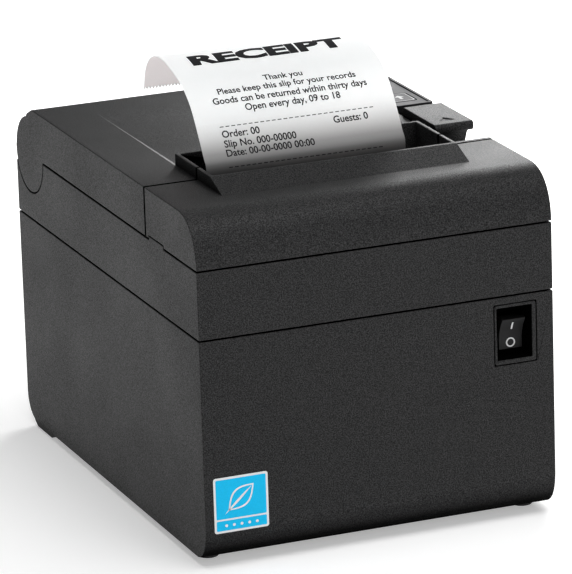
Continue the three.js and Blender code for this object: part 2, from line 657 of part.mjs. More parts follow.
const fixedBlade = () => box(PAPER_LEFT - 0.6, PAPER_RIGHT + 0.6, -47.3, -38, 118.6, BLADE_Z - GAP);
const cutterGear = () => {
  const outline = gearOutline(CUTTER_GEAR.x, CUTTER_GEAR.y, CUTTER_TEETH, Math.PI + Math.PI / CUTTER_TEETH);
  return cut(prismZ(outline, BLADE_Z, BLADE_Z + 2), rodZ(CUTTER_GEAR.x, CUTTER_GEAR.y, 1.5, 100, 130, 12));
};
const cutterMotor = () =>
  join(
    rodZ(CUTTER_GEAR.x + 5.8, CUTTER_GEAR.y, 7.5, 88, 112.6, 28),
    rodZ(CUTTER_GEAR.x, CUTTER_GEAR.y, 1.9, 111, BLADE_Z - GAP, 14),
    rodZ(CUTTER_GEAR.x, CUTTER_GEAR.y, 1.4, 111, BLADE_Z + 2.6, 14),
  );

// ---------------------------------------------------------------- lever, panel and switch

function openLever() {
  const L = LEVER;
  const bottom = L.top - L.thick;
  const slab = [
    ...arc(L.front + 1.6, L.top - 1.6, 1.6, 90, 200, 5),
    ...arc(L.front + 1.4, bottom + 1.1, 1.1, 200, 270, 3),
    [-25.6, bottom], [-24, bottom - 0.8], [-22.4, 129.4], [-21, 126.2], [-20.2, 123], [-19.8, 119.8],
    [-11, 119.8], [-10, 127], [-6, 130.2],
    ...arc(LEVER_PIVOT.y, LEVER_PIVOT.z, 3, 150, 360, 8),
    [L.back, bottom + 0.6], ...arc(L.back - 1, L.top - 1, 1, 0, 90, 3),
  ];
  const mark = prismZ([[58.6, -23.5], [64.6, -23.5], [61.4, -19.2]], L.top - 0.35, L.top + OVER);
  const clearance = (x0, x1) => box(x0, x1, -5, OVER, 110, LEVER_PIVOT.z + 3.6);
  return cut(
    prismX(slab, L.x0, L.x1),
    mark,
    clearance(L.x0 - 1, 56.7),
    clearance(67.5, L.x1 + 1),
    box(L.x0 - 1, 57.7, -30, -6, 110, bottom),
    box(66.8, L.x1 + 1, -30, -6, 110, 121),
    rodX(LEVER_PIVOT.y, LEVER_PIVOT.z, LEVER_PIVOT.r + 0.05, 50, 80),
  );
}

const leverPin = () => rodX(LEVER_PIVOT.y, LEVER_PIVOT.z, LEVER_PIVOT.r, 54.8, 69.5, 16);

function controlPanel() {
  const P = PANEL;
  const plate = prismZ(roundedRect(P.x0, P.x1, P.y0, P.y1, 1.2), P.z0, P.z1);
  const face = box(P.x0 + 1.4, P.x1 - 1.4, P.y0 + 1.4, P.y1 - 1.4, P.z1 - 0.45, P.z1 + OVER);
  return cut(
    plate,
    face,
    prismZ(roundedRect(KEY.x0 - GAP, KEY.x1 + GAP, KEY.y0 - GAP, KEY.y1 + GAP, 1.4), 120, 140),
    ...LED_PLACES.map((y) => rodZ(LED_X, y, LED_R + GAP, 120, 140, 16)),
  );
}

const LED_X = 62.5;
const LED_R = 1.5;
const LED_PLACES = [38, 47, 56];
const statusLight = (y) => rodZ(LED_X, y, LED_R, PANEL.z0 + 0.02, PANEL.z1 - 0.3, 16);
const feedButton = () => prismZ(roundedRect(KEY.x0, KEY.x1, KEY.y0, KEY.y1, 1.2), 131.2, PANEL.z1 - 0.4);

function switchFrame() {
  const B = BEZEL;
  const W = WELL;
  const sleeve = prismY(roundedRect(B.x0, B.x1, B.z0, B.z1, 0.8), FRONT, FRONT + 12);
  const well = box(W.x0, W.x1, FRONT - OVER, FRONT + W.depth, W.z0, W.z1);
  const body = box(B.x0 + 1.4, B.x1 - 1.6, FRONT + 11, FRONT + 24, B.z0 + 2, B.z1 - 2);
  const cradle = box(ROCKER.x0 - 0.4, ROCKER.x1 + 0.4, FRONT, FRONT + 21, 64.2, 79.2);
  return cut(join(sleeve, body), well, cradle);
}

// The rocker's face curves from its upper half, which stands out, to its lower half, which is pressed in.
function powerRocker() {
  const profile = [
    [-90.9, 64.8], [-90.9, 69], [-91.15, 70.6], [-91.7, 72.4], [-92.6, 74.4], [-94.4, 77.2], [-93, 77.6],
    ...arc(ROCKER.y, ROCKER.z, 5.6, 60, -60, 6),
  ];
  return prismX(profile, ROCKER.x0, ROCKER.x1);
}

// ---------------------------------------------------------------- electronics

const BOARD = { z0: 9, z1: 10.6 };
const SOCKET_BACK = 90.5;
const SOCKETS = {
  dc_inlet: [-46, -35, 12.5],
  drawer_socket: [-28, -14, 14],
  usb_socket: [-6, 6.5, 11.5],
  lan_socket: [14, 30.5, 14],
};

function mainBoard() {
  const board = box(-60, 58, -24, SOCKET_BACK - 5, BOARD.z0, BOARD.z1);
  const posts = [[-56, -20], [54, -20], [-56, 80], [54, 80]];
  return join(board, ...posts.map(([x, y]) => rodZ(x, y, 3, CASE_BOTTOM + WALL + 0.02, BOARD.z0 + 0.5, 12)));
}

const interfacePlate = () =>
  cut(
    box(-54, 58, SOCKET_BACK - 2.2, SOCKET_BACK - 1.2, 7.6, 36),
    ...Object.values(SOCKETS).map(([x0, x1, h]) =>
      box(x0 - GAP, x1 + GAP, 70, 110, BOARD.z1 - 0.2, BOARD.z1 + h + 0.5),
    ),
    box(-62, 62, SOCKET_BACK - 12, SOCKET_BACK - 4.7, 0, BOARD.z1 + 0.3),
  );

function socket([x0, x1, height], round) {
  const z0 = BOARD.z1 + 0.1;
  const shell = box(x0, x1, SOCKET_BACK - 14, SOCKET_BACK, z0, z0 + height);
  const mid = (x0 + x1) / 2;
  const centre = z0 + height / 2;
  if (round) {
    const pin = rodY(mid, centre, 1.1, 70, 110, 10);
    return cut(shell, cut(rodY(mid, centre, 3.6, SOCKET_BACK - 9, SOCKET_BACK + OVER, 20), pin));
  }
  const mouth = box(x0 + 1.6, x1 - 1.6, SOCKET_BACK - 9, SOCKET_BACK + OVER, z0 + 1.8, z0 + height - 1.8);
  const tongue = box(x0 + 3.4, x1 - 3.4, SOCKET_BACK - 10, SOCKET_BACK - 2, centre - 0.6, centre + 0.6);
  return join(cut(shell, mouth), tongue);
}

// Small sensors. The cover switch is pressed by the closed cover; the other one watches the roll's side.
const coverSwitch = () => box(40.5, 45.8, -24, -14, 98.3, 104);
const nearEndSensor = () => box(-54, -51.2, 20, 34, 30, 40);
const frontLabel = () => prismY(roundedRect(-66.6, -45.3, 13.8, 35, 0.8), FRONT - 0.2, FRONT - 0.02);

// ---------------------------------------------------------------- assembly

const printer = new THREE.Group();

function add(name, solid, material) {
  const mesh = new THREE.Mesh(toGeometry(solid), material);
  mesh.name = name;
  printer.add(mesh);
}

const M = MATERIAL;
add("base_housing", baseHousing(), M.casing);
add("middle_housing", middleHousing(), M.casing);
add("front_cover", frontCover(), M.casing);
add("roll_cover", rollCover(), M.casing);
add("console_housing", consoleHousing(), M.casing);
add("foot_front_left", frontFoot(-1), M.rubber);
add("foot_front_right", frontFoot(1), M.rubber);
add("foot_rear_left", rearFoot(-1), M.rubber);
add("foot_rear_right", rearFoot(1), M.rubber);
SCREW_PLACES.forEach((place, i) => add(`case_screw_${i + 1}`, caseScrew(place), M.steel));
add("hinge_pin_left", rodX(HINGE.y, HINGE.z, HINGE_PIN_R, LEFT + 1, LEFT + 8.5, 20), M.steel);
add("hinge_pin_right", rodX(HINGE.y, HINGE.z, HINGE_PIN_R, 49.5, 58, 20), M.steel);
add("front_label", frontLabel(), M.label);

add("paper_bucket", rollBucket(), M.innerPlastic);
add("paper_roll", paperRoll(), M.paper);
add("roll_core", rollCore(), M.core);
add("paper_web", paperWeb(), M.paper);
add("receipt", receipt(), M.paper);

add("mechanism_chassis", mechanismChassis(), M.steel);
add("stepper_motor", stepperMotor(), M.steel);
add("motor_pinion", motorPinion(), M.gear);
add("idler_gear", idlerGear(), M.gear);
add("idler_pin", idlerPin(), M.steel);
add("platen_gear", platenGear(), M.gear);
add("platen_shaft", platenShaft(), M.steel);
add("platen_roller", platenRoller(), M.rubber);
add("platen_bearing_left", platenBearing(-52.8, -50), M.darkPlastic);
add("platen_bearing_right", platenBearing(36.3, 39.4), M.darkPlastic);
add("print_head", printHead(), M.ceramic);
add("head_heatsink", headHeatsink(), M.aluminium);
add("head_spring_left", headSpring(-30), M.steel);
add("head_spring_right", headSpring(16), M.steel);
add("latch_hook", latchHook(), M.steel);
add("latch_stud", latchStud(), M.steel);
add("paper_sensor", paperSensor(), M.black);

add("cutter_frame", cutterFrame(), M.darkPlastic);
add("moving_blade", movingBlade(), M.blade);
add("fixed_blade", fixedBlade(), M.blade);
add("cutter_gear", cutterGear(), M.gear);
add("cutter_motor", cutterMotor(), M.steel);

add("open_lever", openLever(), M.casing);
add("lever_pin", leverPin(), M.steel);
add("control_panel", controlPanel(), M.panel);
add("feed_button", feedButton(), M.panel);
["power_light", "error_light", "paper_light"].forEach((name, i) => {
  add(name, statusLight(LED_PLACES[i]), M.lens);
});
add("switch_frame", switchFrame(), M.darkPlastic);
add("power_rocker", powerRocker(), M.black);

add("main_board", mainBoard(), M.circuit);
add("interface_plate", interfacePlate(), M.steel);
Object.entries(SOCKETS).forEach(([name, size]) => add(name, socket(size, name === "dc_inlet"), M.black));
add("cover_switch", coverSwitch(), M.black);
add("near_end_sensor", nearEndSensor(), M.black);

export default printer;
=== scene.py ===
import math
from bisect import bisect_right

import bmesh
import bpy
from mathutils import Matrix, Quaternion, Vector


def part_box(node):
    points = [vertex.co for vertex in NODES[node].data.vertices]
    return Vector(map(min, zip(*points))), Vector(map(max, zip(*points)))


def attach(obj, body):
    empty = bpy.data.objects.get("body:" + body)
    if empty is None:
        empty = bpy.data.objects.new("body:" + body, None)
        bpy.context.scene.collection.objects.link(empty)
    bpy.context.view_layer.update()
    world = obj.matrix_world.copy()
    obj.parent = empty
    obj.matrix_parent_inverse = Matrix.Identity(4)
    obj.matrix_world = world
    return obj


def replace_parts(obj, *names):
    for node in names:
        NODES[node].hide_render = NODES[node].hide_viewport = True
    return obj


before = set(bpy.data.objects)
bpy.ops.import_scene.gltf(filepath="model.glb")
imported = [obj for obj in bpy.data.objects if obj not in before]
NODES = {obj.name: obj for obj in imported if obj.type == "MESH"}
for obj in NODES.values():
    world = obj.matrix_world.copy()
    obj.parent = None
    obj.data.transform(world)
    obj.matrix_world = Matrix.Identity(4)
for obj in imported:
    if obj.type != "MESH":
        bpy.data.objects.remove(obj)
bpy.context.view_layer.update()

MM = 0.001

# ---------------------------------------------------------------- camera

# In metres, degrees and, for the lens, millimetres on a sensor 36 mm wide
CAMERA_AIM = Vector((0.0031, 0.0002, 0.0715))
CAMERA_DISTANCE = 1.9552
CAMERA_AZIMUTH = math.radians(-21.614)
CAMERA_ELEVATION = math.radians(16.859)
CAMERA_ROLL = math.radians(1.815)
CAMERA_LENS = 320.98
SENSOR_WIDTH = 36


def make_camera():
    data = bpy.data.cameras.new("camera")
    data.lens = CAMERA_LENS
    data.sensor_width = SENSOR_WIDTH
    data.clip_start = 0.1
    data.clip_end = 50
    camera = bpy.data.objects.new("camera", data)
    bpy.context.scene.collection.objects.link(camera)
    level = math.cos(CAMERA_ELEVATION)
    back = Vector((
        math.sin(CAMERA_AZIMUTH) * level,
        -math.cos(CAMERA_AZIMUTH) * level,
        math.sin(CAMERA_ELEVATION),
    ))
    camera.location = CAMERA_AIM + back * CAMERA_DISTANCE
    camera.rotation_mode = "QUATERNION"
    upright = (-back).to_track_quat("-Z", "Y")
    camera.rotation_quaternion = Quaternion(-back, CAMERA_ROLL) @ upright
    bpy.context.scene.camera = camera


# ---------------------------------------------------------------- floor and light

WHITE = (1, 1, 1, 1)
FLOOR_SIZE = 40
STUDIO_AIM = Vector((0, 0, 0.08))
SEEN_SKY = 1.0
FILLING_SKY = 0.05


def make_world():
    """A sky that is seen as white but lights the scene only faintly."""
    world = bpy.data.worlds.new("studio")
    world.use_nodes = True
    tree = world.node_tree
    tree.nodes.clear()
    output = tree.nodes.new("ShaderNodeOutputWorld")
    path = tree.nodes.new("ShaderNodeLightPath")
    mix = tree.nodes.new("ShaderNodeMixShader")
    tree.links.new(path.outputs["Is Camera Ray"], mix.inputs["Fac"])
    for socket, strength in ((1, FILLING_SKY), (2, SEEN_SKY)):
        sky = tree.nodes.new("ShaderNodeBackground")
        sky.inputs["Color"].default_value = WHITE
        sky.inputs["Strength"].default_value = strength
        tree.links.new(sky.outputs["Background"], mix.inputs[socket])
    tree.links.new(mix.outputs["Shader"], output.inputs["Surface"])
    bpy.context.scene.world = world
    bpy.context.scene.view_settings.view_transform = "Standard"


# name: azimuth and elevation in degrees, distance and size in metres, power in watts
LIGHTS = {
    "top_softbox": (15, 74, 1.1, 0.9, 8.5),
    "left_softbox": (-95, 30, 1.3, 1.0, 0.3),
    "rear_softbox": (172, 42, 1.5, 1.6, 1.0),
    "rear_right_softbox": (141, 22, 0.62, 0.3, 2.5),
    "front_fill": (10, 24, 1.6, 1.2, 5.0),
}


def make_lights():
    for name, (azimuth, elevation, distance, size, power) in LIGHTS.items():
        data = bpy.data.lights.new(name, "AREA")
        data.shape = "DISK"
        data.size = size
        data.energy = power
        light = bpy.data.objects.new(name, data)
        bpy.context.scene.collection.objects.link(light)
        a = math.radians(azimuth)
        e = math.radians(elevation)
        out = Vector((math.sin(a) * math.cos(e), -math.cos(a) * math.cos(e), math.sin(e)))
        light.location = STUDIO_AIM + out * distance
        light.rotation_mode = "QUATERNION"
        light.rotation_quaternion = (-out).to_track_quat("-Z", "Y")


def make_floor(material):
    bpy.ops.mesh.primitive_plane_add(size=FLOOR_SIZE, location=(0, 0, 0))
    floor = bpy.context.object
    floor.name = "floor"
    floor.data.materials.append(material)


# ---------------------------------------------------------------- material helpers


class Surface:
    """A material with one Principled shader, and short calls for the nodes that feed it."""

    def __init__(self, name, color, roughness, metallic=0.0, **sockets):
        self.material = bpy.data.materials.new(name)
        self.material.use_nodes = True
        self.tree = self.material.node_tree
        self.shader = self.tree.nodes["Principled BSDF"]
        self.set("Base Color", (*color, 1))
        self.set("Roughness", roughness)
        self.set("Metallic", metallic)
        for key, value in sockets.items():
            self.set(key.replace("_", " "), value)
        self.where = self.node("ShaderNodeTexCoord").outputs["Object"]

    def set(self, socket, value):
        self.shader.inputs[socket].default_value = value

    def node(self, kind, **settings):
        made = self.tree.nodes.new(kind)
        for key, value in settings.items():
            setattr(made, key, value)
        return made

    def link(self, a, b):
        self.tree.links.new(a, b)

    def stretched(self, scale):
        """The place on the object, with each axis scaled."""
        mapping = self.node("ShaderNodeMapping")
        mapping.inputs["Scale"].default_value = scale
        self.link(self.where, mapping.inputs["Vector"])
        return mapping.outputs["Vector"]

    def noise(self, feature_mm, detail=2.0, rough=0.5, vector=None):
        """Cloudy noise whose patches are about that size."""
        made = self.node("ShaderNodeTexNoise")
        made.inputs["Scale"].default_value = 1 / (feature_mm * MM)
        made.inputs["Detail"].default_value = detail
        made.inputs["Roughness"].default_value = rough
        self.link(vector or self.where, made.inputs["Vector"])
        return made.outputs["Fac"]

    def ramp(self, value, stops):
        """A colour that passes through the stops as the value rises."""
        made = self.node("ShaderNodeValToRGB")
        for i, (place, color) in enumerate(stops):
            spot = made.color_ramp.elements[i] if i < 2 else made.color_ramp.elements.new(place)
            spot.position = place
            spot.color = (*color, 1)
        self.link(value, made.inputs["Fac"])
        return made.outputs["Color"]

    def spread(self, value, low, high, to_low=0.0, to_high=1.0):
        """The value's range from low to high, stretched over another range and clamped to it."""
        made = self.node("ShaderNodeMapRange")
        for socket, number in (
            ("From Min", low), ("From Max", high), ("To Min", to_low), ("To Max", to_high),
        ):
            made.inputs[socket].default_value = number
        self.link(value, made.inputs["Value"])
        return made.outputs["Result"]

    def math(self, operation, a, b):
        made = self.node("ShaderNodeMath", operation=operation)
        for i, value in enumerate((a, b)):
            if isinstance(value, (int, float)):
                made.inputs[i].default_value = value
            else:
                self.link(value, made.inputs[i])
        return made.outputs["Value"]

    def mix(self, share, a, b, mode="MIX"):
        made = self.node("ShaderNodeMix", data_type="RGBA", blend_type=mode)
        for socket, value in ((0, share), (6, a), (7, b)):
            if isinstance(value, (int, float)):
                made.inputs[socket].default_value = value
            elif isinstance(value, tuple):
                made.inputs[socket].default_value = (*value, 1)
            else:
                self.link(value, made.inputs[socket])
        return made.outputs[2]

    def bump(self, height, depth_mm):
        made = self.node("ShaderNodeBump")
        made.inputs["Strength"].default_value = 1.0
        made.inputs["Distance"].default_value = depth_mm * MM
        self.link(height, made.inputs["Height"])
        return made.outputs["Normal"]

    def edges(self, radius_mm):
        """1 on a sharp edge and 0 on a flat face."""
        rounded = self.node("ShaderNodeBevel", samples=4)
        rounded.inputs["Radius"].default_value = radius_mm * MM
        plain = self.node("ShaderNodeNewGeometry")
        dot = self.node("ShaderNodeVectorMath", operation="DOT_PRODUCT")
        self.link(rounded.outputs["Normal"], dot.inputs[0])
        self.link(plain.outputs["Normal"], dot.inputs[1])
        return self.spread(dot.outputs["Value"], 0.985, 0.86)

    def openness(self, reach_mm, low=0.35, high=0.85):
        """1 out in the open and 0 deep in a gap."""
        near = self.node("ShaderNodeAmbientOcclusion", samples=6)
        near.inputs["Distance"].default_value = reach_mm * MM
        return self.spread(near.outputs["AO"], low, high)

    def axis(self, name, vector=None):
        """One coordinate of a vector, or of the place on the object."""
        parts = self.node("ShaderNodeSeparateXYZ")
        self.link(vector or self.where, parts.inputs["Vector"])
        return parts.outputs[name]

    def facing(self, name):
        """One coordinate of the direction that the surface faces, in the object's own frame."""
        return self.axis(name, self.node("ShaderNodeTexCoord").outputs["Normal"])

    def distance(self, name, middle):
        """How far one coordinate is from a place, to either side."""
        return self.math("ABSOLUTE", self.math("SUBTRACT", self.axis(name), middle), 0)

    def feed(self, socket, value):
        self.link(value, self.shader.inputs[socket])


def scaled(color, factor):
    return tuple(min(1.0, c * factor) for c in color)


# ---------------------------------------------------------------- materials

GRAIN_MM = 0.42
GRAIN_DEPTH_MM = 0.09
CLOUD_MM = 38

# The heights in metres between which the shade under the casing's turned-in foot fades out
FOOT_SHADE = (0.014, 0.022)

# The painted shade at the covers' seam, a dark band, in metres: the distances from the seam between which
# it fades out, and the depths under the casing's outside between which it fades in
SEAM_SHADE_BAND = (0.0007, 0.0009)
SEAM_SKIN = (0.0018, 0.0012)


def spark_plastic(name, color, roughness, seam=None):
    """Moulded plastic with a spark-eroded grain, faint clouding and polished edges, with painted shade in
    its gaps, on its downward faces near the floor and, when a seam is given, along the seam.
    """
    s = Surface(name, color, roughness)
    # Painted shade: downward faces below the foot shade heights are darkened
    off_floor = s.spread(s.axis("Z"), *FOOT_SHADE)
    lit = s.math("MAXIMUM", off_floor, s.spread(s.facing("Z"), -0.6, -0.04, 0.15, 1.0))
    # Painted shade: darker in gaps and hollows, from ambient occlusion
    open_air = s.math("MULTIPLY", s.openness(1.1), s.openness(16, 0.25, 0.75))
    shown = s.math("MULTIPLY", open_air, lit)
    if seam is not None:
        # Painted shade along the seam between the covers
        shown = s.math("MULTIPLY", shown, s.math("SUBTRACT", 1.0, painted_seam_shade(s, seam)))
    clouds = s.noise(CLOUD_MM, detail=3.0)
    edge = s.edges(0.5)
    worn = s.mix(s.math("MULTIPLY", edge, 0.4), grain(s, color, shown), scaled(color, 1.3))
    # Where shade is painted, the colour goes towards near black
    s.feed("Base Color", s.mix(shown, scaled(color, 0.04), worn))
    smoother = s.spread(clouds, 0.3, 0.7, roughness + 0.04, roughness - 0.04)
    s.feed("Roughness", s.math("SUBTRACT", smoother, s.math("MULTIPLY", edge, 0.1)))
    s.feed("Normal", s.bump(s.noise(GRAIN_MM, detail=3.0, rough=0.6), GRAIN_DEPTH_MM))
    return s.material


def painted_seam_shade(s, seam):
    """1 in a narrow band about the seam's y, on the casing's top and sides but not deeper in: where the
    seam's shade is painted.
    """
    band = s.spread(s.distance("Y", seam.y), *SEAM_SHADE_BAND, 1.0, 0.0)
    top = s.spread(s.axis("Z"), *[seam.z - depth for depth in SEAM_SKIN])
    side = s.spread(s.distance("X", 0), *[seam.x - depth for depth in SEAM_SKIN])
    return s.math("MULTIPLY", band, s.math("MAXIMUM", top, side))


def grain(s, color, shown):
    """The colour of a spark-eroded face: fine pale and dark specks, which also differ in gloss. The gloss
    is lowered where shown is low, as painted shade.
    """
    specks = s.noise(GRAIN_MM, detail=3.0, rough=0.7)
    clouds = s.noise(CLOUD_MM, detail=3.0)
    s.feed("Specular IOR Level", s.math("MULTIPLY", s.spread(specks, 0.42, 0.68, 0.08, 0.44), shown))
    speckle = s.ramp(specks, [(0.4, scaled(color, 0.6)), (0.68, scaled(color, 2.7))])
    return s.mix(s.spread(clouds, 0.3, 0.7, 0.0, 0.2), speckle, scaled(color, 1.12))


def switch_surround(name, color, roughness, face_mm):
    """The casing's colour on the front rim, and painted shade that turns it near black down in the well
    behind it.
    """
    s = Surface(name, color, roughness, Specular_IOR_Level=0.36)
    # Painted shade: the colour and the gloss fade to near black deeper into the well
    depth = s.spread(s.axis("Y"), (face_mm + 0.15) * MM, (face_mm + 0.6) * MM)
    shown = s.math("SUBTRACT", 1.0, depth)
    s.feed("Base Color", s.mix(depth, grain(s, color, shown), scaled(color, 0.08)))
    s.feed("Roughness", s.spread(s.noise(20), 0.3, 0.7, roughness - 0.04, roughness + 0.04))
    s.feed("Normal", s.bump(s.noise(0.7, detail=3.0), 0.06))
    return s.material


def panel_film(name, color, edge_color, roughness):
    """A printed film on top, with dark moulded sides."""
    s = Surface(name, color, roughness, Specular_IOR_Level=0.12)
    top = s.spread(s.facing("Z"), 0.75, 0.92)
    dots = s.noise(0.3, detail=2.0)
    film = s.ramp(dots, [(0.3, scaled(color, 0.88)), (0.7, scaled(color, 1.1))])
    s.feed("Base Color", s.mix(top, edge_color, film))
    s.feed("Roughness", s.spread(s.noise(9, detail=2.0), 0.3, 0.7, roughness - 0.05, roughness + 0.05))
    s.feed("Normal", s.bump(dots, 0.006))
    return s.material


def smooth_plastic(name, color, roughness):
    """Lightly polished moulding with faint flow marks and fine scuffs."""
    s = Surface(name, color, roughness)
    flow = s.noise(6, detail=4.0, vector=s.stretched((0.4, 1, 1)))
    fine = s.noise(0.25, detail=2.0)
    s.feed("Base Color", s.ramp(flow, [(0.3, scaled(color, 0.85)), (0.7, scaled(color, 1.2))]))
    s.feed("Roughness", s.spread(flow, 0.3, 0.7, roughness - 0.06, roughness + 0.08))
    s.feed("Normal", s.bump(fine, 0.012))
    return s.material


def rubber(name, color):
    """Matt rubber with a little pale dust."""
    s = Surface(name, color, 0.85)
    dust = s.noise(1.2, detail=5.0, rough=0.7)
    s.feed("Base Color", s.ramp(dust, [(0.4, color), (0.75, scaled(color, 2.2))]))
    s.feed("Roughness", s.spread(dust, 0.3, 0.7, 0.78, 0.95))
    s.feed("Normal", s.bump(s.noise(0.3, detail=3.0), 0.03))
    return s.material


def sheet_steel(name, color, roughness, brushed=(1, 12, 12)):
    """Zinc-plated or ground steel with fine lines along X."""
    s = Surface(name, color, roughness, metallic=1.0)
    lines = s.noise(1.6, detail=4.0, rough=0.7, vector=s.stretched(brushed))
    spangle = s.noise(7, detail=2.0)
    tone = s.ramp(lines, [(0.3, scaled(color, 0.82)), (0.7, scaled(color, 1.12))])
    s.feed("Base Color", s.mix(s.spread(spangle, 0.35, 0.65, 0.0, 0.4), tone, scaled(color, 0.86)))
    s.feed("Roughness", s.spread(lines, 0.3, 0.7, roughness - 0.08, roughness + 0.1))
    s.feed("Normal", s.bump(lines, 0.01))
    return s.material


PAPER_SCATTER = 0.6

# The shade at the receipt's slot: the heights that it spans in metres, and the share of its light that
# the paper keeps from the lower height to the upper one
SLOT_HEIGHTS = (0.134, 0.156)
SLOT_SHADE = [
    (0.0, 0.03), (0.18, 0.09), (0.33, 0.23), (0.43, 0.38),
    (0.55, 0.56), (0.68, 0.75), (0.84, 0.94), (1.0, 1.0),
]

# The receipt's underside where it curls over: where along the depth it begins in metres, and the painted
# tone of its shaded side lit through the paper
CURL_BACK = (-0.004, 0.002)
CURL_PAINTED_TONE = (0.82, 0.71, 0.72)


def paper_surface(name, color, painted_glow=0.0, shaded=False, wound=False):
    """Thermal paper with fine fibres. The receipt has a painted glow, painted shade that darkens it
    towards its slot and a painted tone on its underside where it curls over; a roll shows its turns.
    """
    s = Surface(name, color, 0.55, Subsurface_Weight=PAPER_SCATTER, Subsurface_Scale=0.001)
    s.set("Subsurface Radius", (1.0, 0.86, 0.84))
    s.set("Emission Color", WHITE)
    # Painted light: the paper glows a little, as if more brightly lit
    s.set("Emission Strength", painted_glow)
    fibres = s.noise(0.35, detail=5.0, rough=0.65, vector=s.stretched((1, 0.35, 0.35)))
    tone = s.ramp(fibres, [(0.3, scaled(color, 0.955)), (0.7, color)])
    s.feed("Normal", s.bump(fibres, 0.006))
    if shaded:
        # Painted shade: the colour, the painted glow and the scatter fade towards the slot
        height = s.spread(s.axis("Z"), *SLOT_HEIGHTS)
        kept = s.ramp(height, [(place, (share, share, share)) for place, share in SLOT_SHADE])
        tone = s.mix(1.0, tone, kept, mode="MULTIPLY")
        s.feed("Emission Strength", s.math("MULTIPLY", kept, painted_glow))
        s.feed("Subsurface Weight", s.math("MULTIPLY", kept, PAPER_SCATTER))
        # Painted light: a darker, pinker tone on the underside where it curls over
        inner = s.spread(s.facing("Y"), 0.0, -0.1)
        rear = s.spread(s.axis("Y"), *CURL_BACK)
        tone = s.mix(s.math("MULTIPLY", inner, rear), tone, CURL_PAINTED_TONE)
    if wound:
        tone = s.mix(s.math("MULTIPLY", roll_turns(s), 0.16), tone, scaled(color, 0.62))
    s.feed("Base Color", tone)
    return s.material


def roll_turns(s):
    """Fine rings about the paper roll's middle."""
    low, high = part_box("paper_roll")
    middle = (low + high) / 2
    centred = s.node("ShaderNodeMapping", vector_type="POINT")
    centred.inputs["Location"].default_value = (0, -middle.y, -middle.z)
    s.link(s.where, centred.inputs["Vector"])
    turns = s.node("ShaderNodeTexWave", wave_type="RINGS", rings_direction="X")
    turns.inputs["Scale"].default_value = 700
    turns.inputs["Distortion"].default_value = 0.6
    s.link(centred.outputs["Vector"], turns.inputs["Vector"])
    return turns.outputs["Fac"]


def printed_ink(name, color):
    """Thermal print, slightly uneven in its black."""
    s = Surface(name, color, 0.8, Specular_IOR_Level=0.1)
    patchy = s.noise(0.3, detail=2.0)
    s.feed("Base Color", s.ramp(patchy, [(0.3, color), (0.8, scaled(color, 2.4))]))
    s.feed("Roughness", s.spread(patchy, 0.3, 0.7, 0.7, 0.9))
    return s.material


def label_print(name, color):
    """Screen-printed colour with faint dots and waves."""
    s = Surface(name, color, 0.45, Specular_IOR_Level=0.2)
    dots = s.noise(0.22, detail=1.0)
    s.feed("Base Color", s.ramp(dots, [(0.3, scaled(color, 0.93)), (0.7, scaled(color, 1.05))]))
    s.feed("Normal", s.bump(s.noise(2.5, detail=2.0), 0.01))
    return s.material


def lens(name, color):
    """Tinted clear plastic over a light."""
    s = Surface(name, color, 0.12, IOR=1.49, Coat_Weight=0.5, Transmission_Weight=0.35)
    core = s.noise(0.8, detail=1.0)
    s.feed("Base Color", s.ramp(core, [(0.3, scaled(color, 0.7)), (0.7, scaled(color, 1.3))]))
    return s.material


def card(name, color):
    """Wound card with coarse fibres."""
    s = Surface(name, color, 0.85)
    fibres = s.noise(0.6, detail=5.0, rough=0.7)
    s.feed("Base Color", s.ramp(fibres, [(0.3, scaled(color, 0.7)), (0.7, scaled(color, 1.25))]))
    s.feed("Normal", s.bump(fibres, 0.04))
    return s.material


def circuit_board_surface(name, color):
    """Solder mask with paler tracks under it."""
    s = Surface(name, color, 0.35, Coat_Weight=0.3)
    tracks = s.node("ShaderNodeTexBrick")
    tracks.inputs["Scale"].default_value = 260
    tracks.inputs["Mortar Size"].default_value = 0.08
    tracks.inputs["Color1"].default_value = (*color, 1)
    tracks.inputs["Color2"].default_value = (*scaled(color, 0.8), 1)
    tracks.inputs["Mortar"].default_value = (*scaled(color, 2.3), 1)
    s.link(s.where, tracks.inputs["Vector"])
    s.feed("Base Color", tracks.outputs["Color"])
    s.feed("Normal", s.bump(tracks.outputs["Fac"], 0.02))
    return s.material


# The floor's glow: the distances in metres between which it rises, and its strength at each
GLOW_DISTANCES = (0.28, 0.8)
GLOW_STRENGTHS = (0.38, 1.0)


def floor_surface():
    """A pale sweep that glows a little, and more with distance, so that it fades to white."""
    s = Surface("studio_floor", (0.93, 0.93, 0.93), 0.75)
    clouds = s.noise(900, detail=2.0)
    s.feed("Base Color", s.ramp(clouds, [(0.3, (0.92, 0.92, 0.92)), (0.7, (0.94, 0.94, 0.94))]))
    s.set("Emission Color", WHITE)
    distance = s.node("ShaderNodeVectorMath", operation="LENGTH")
    s.link(s.where, distance.inputs[0])
    s.feed("Emission Strength", s.spread(distance.outputs["Value"], *GLOW_DISTANCES, *GLOW_STRENGTHS))
    return s.material


CHARCOAL = (0.0138, 0.0138, 0.0141)
BLACK = (0.011, 0.011, 0.012)
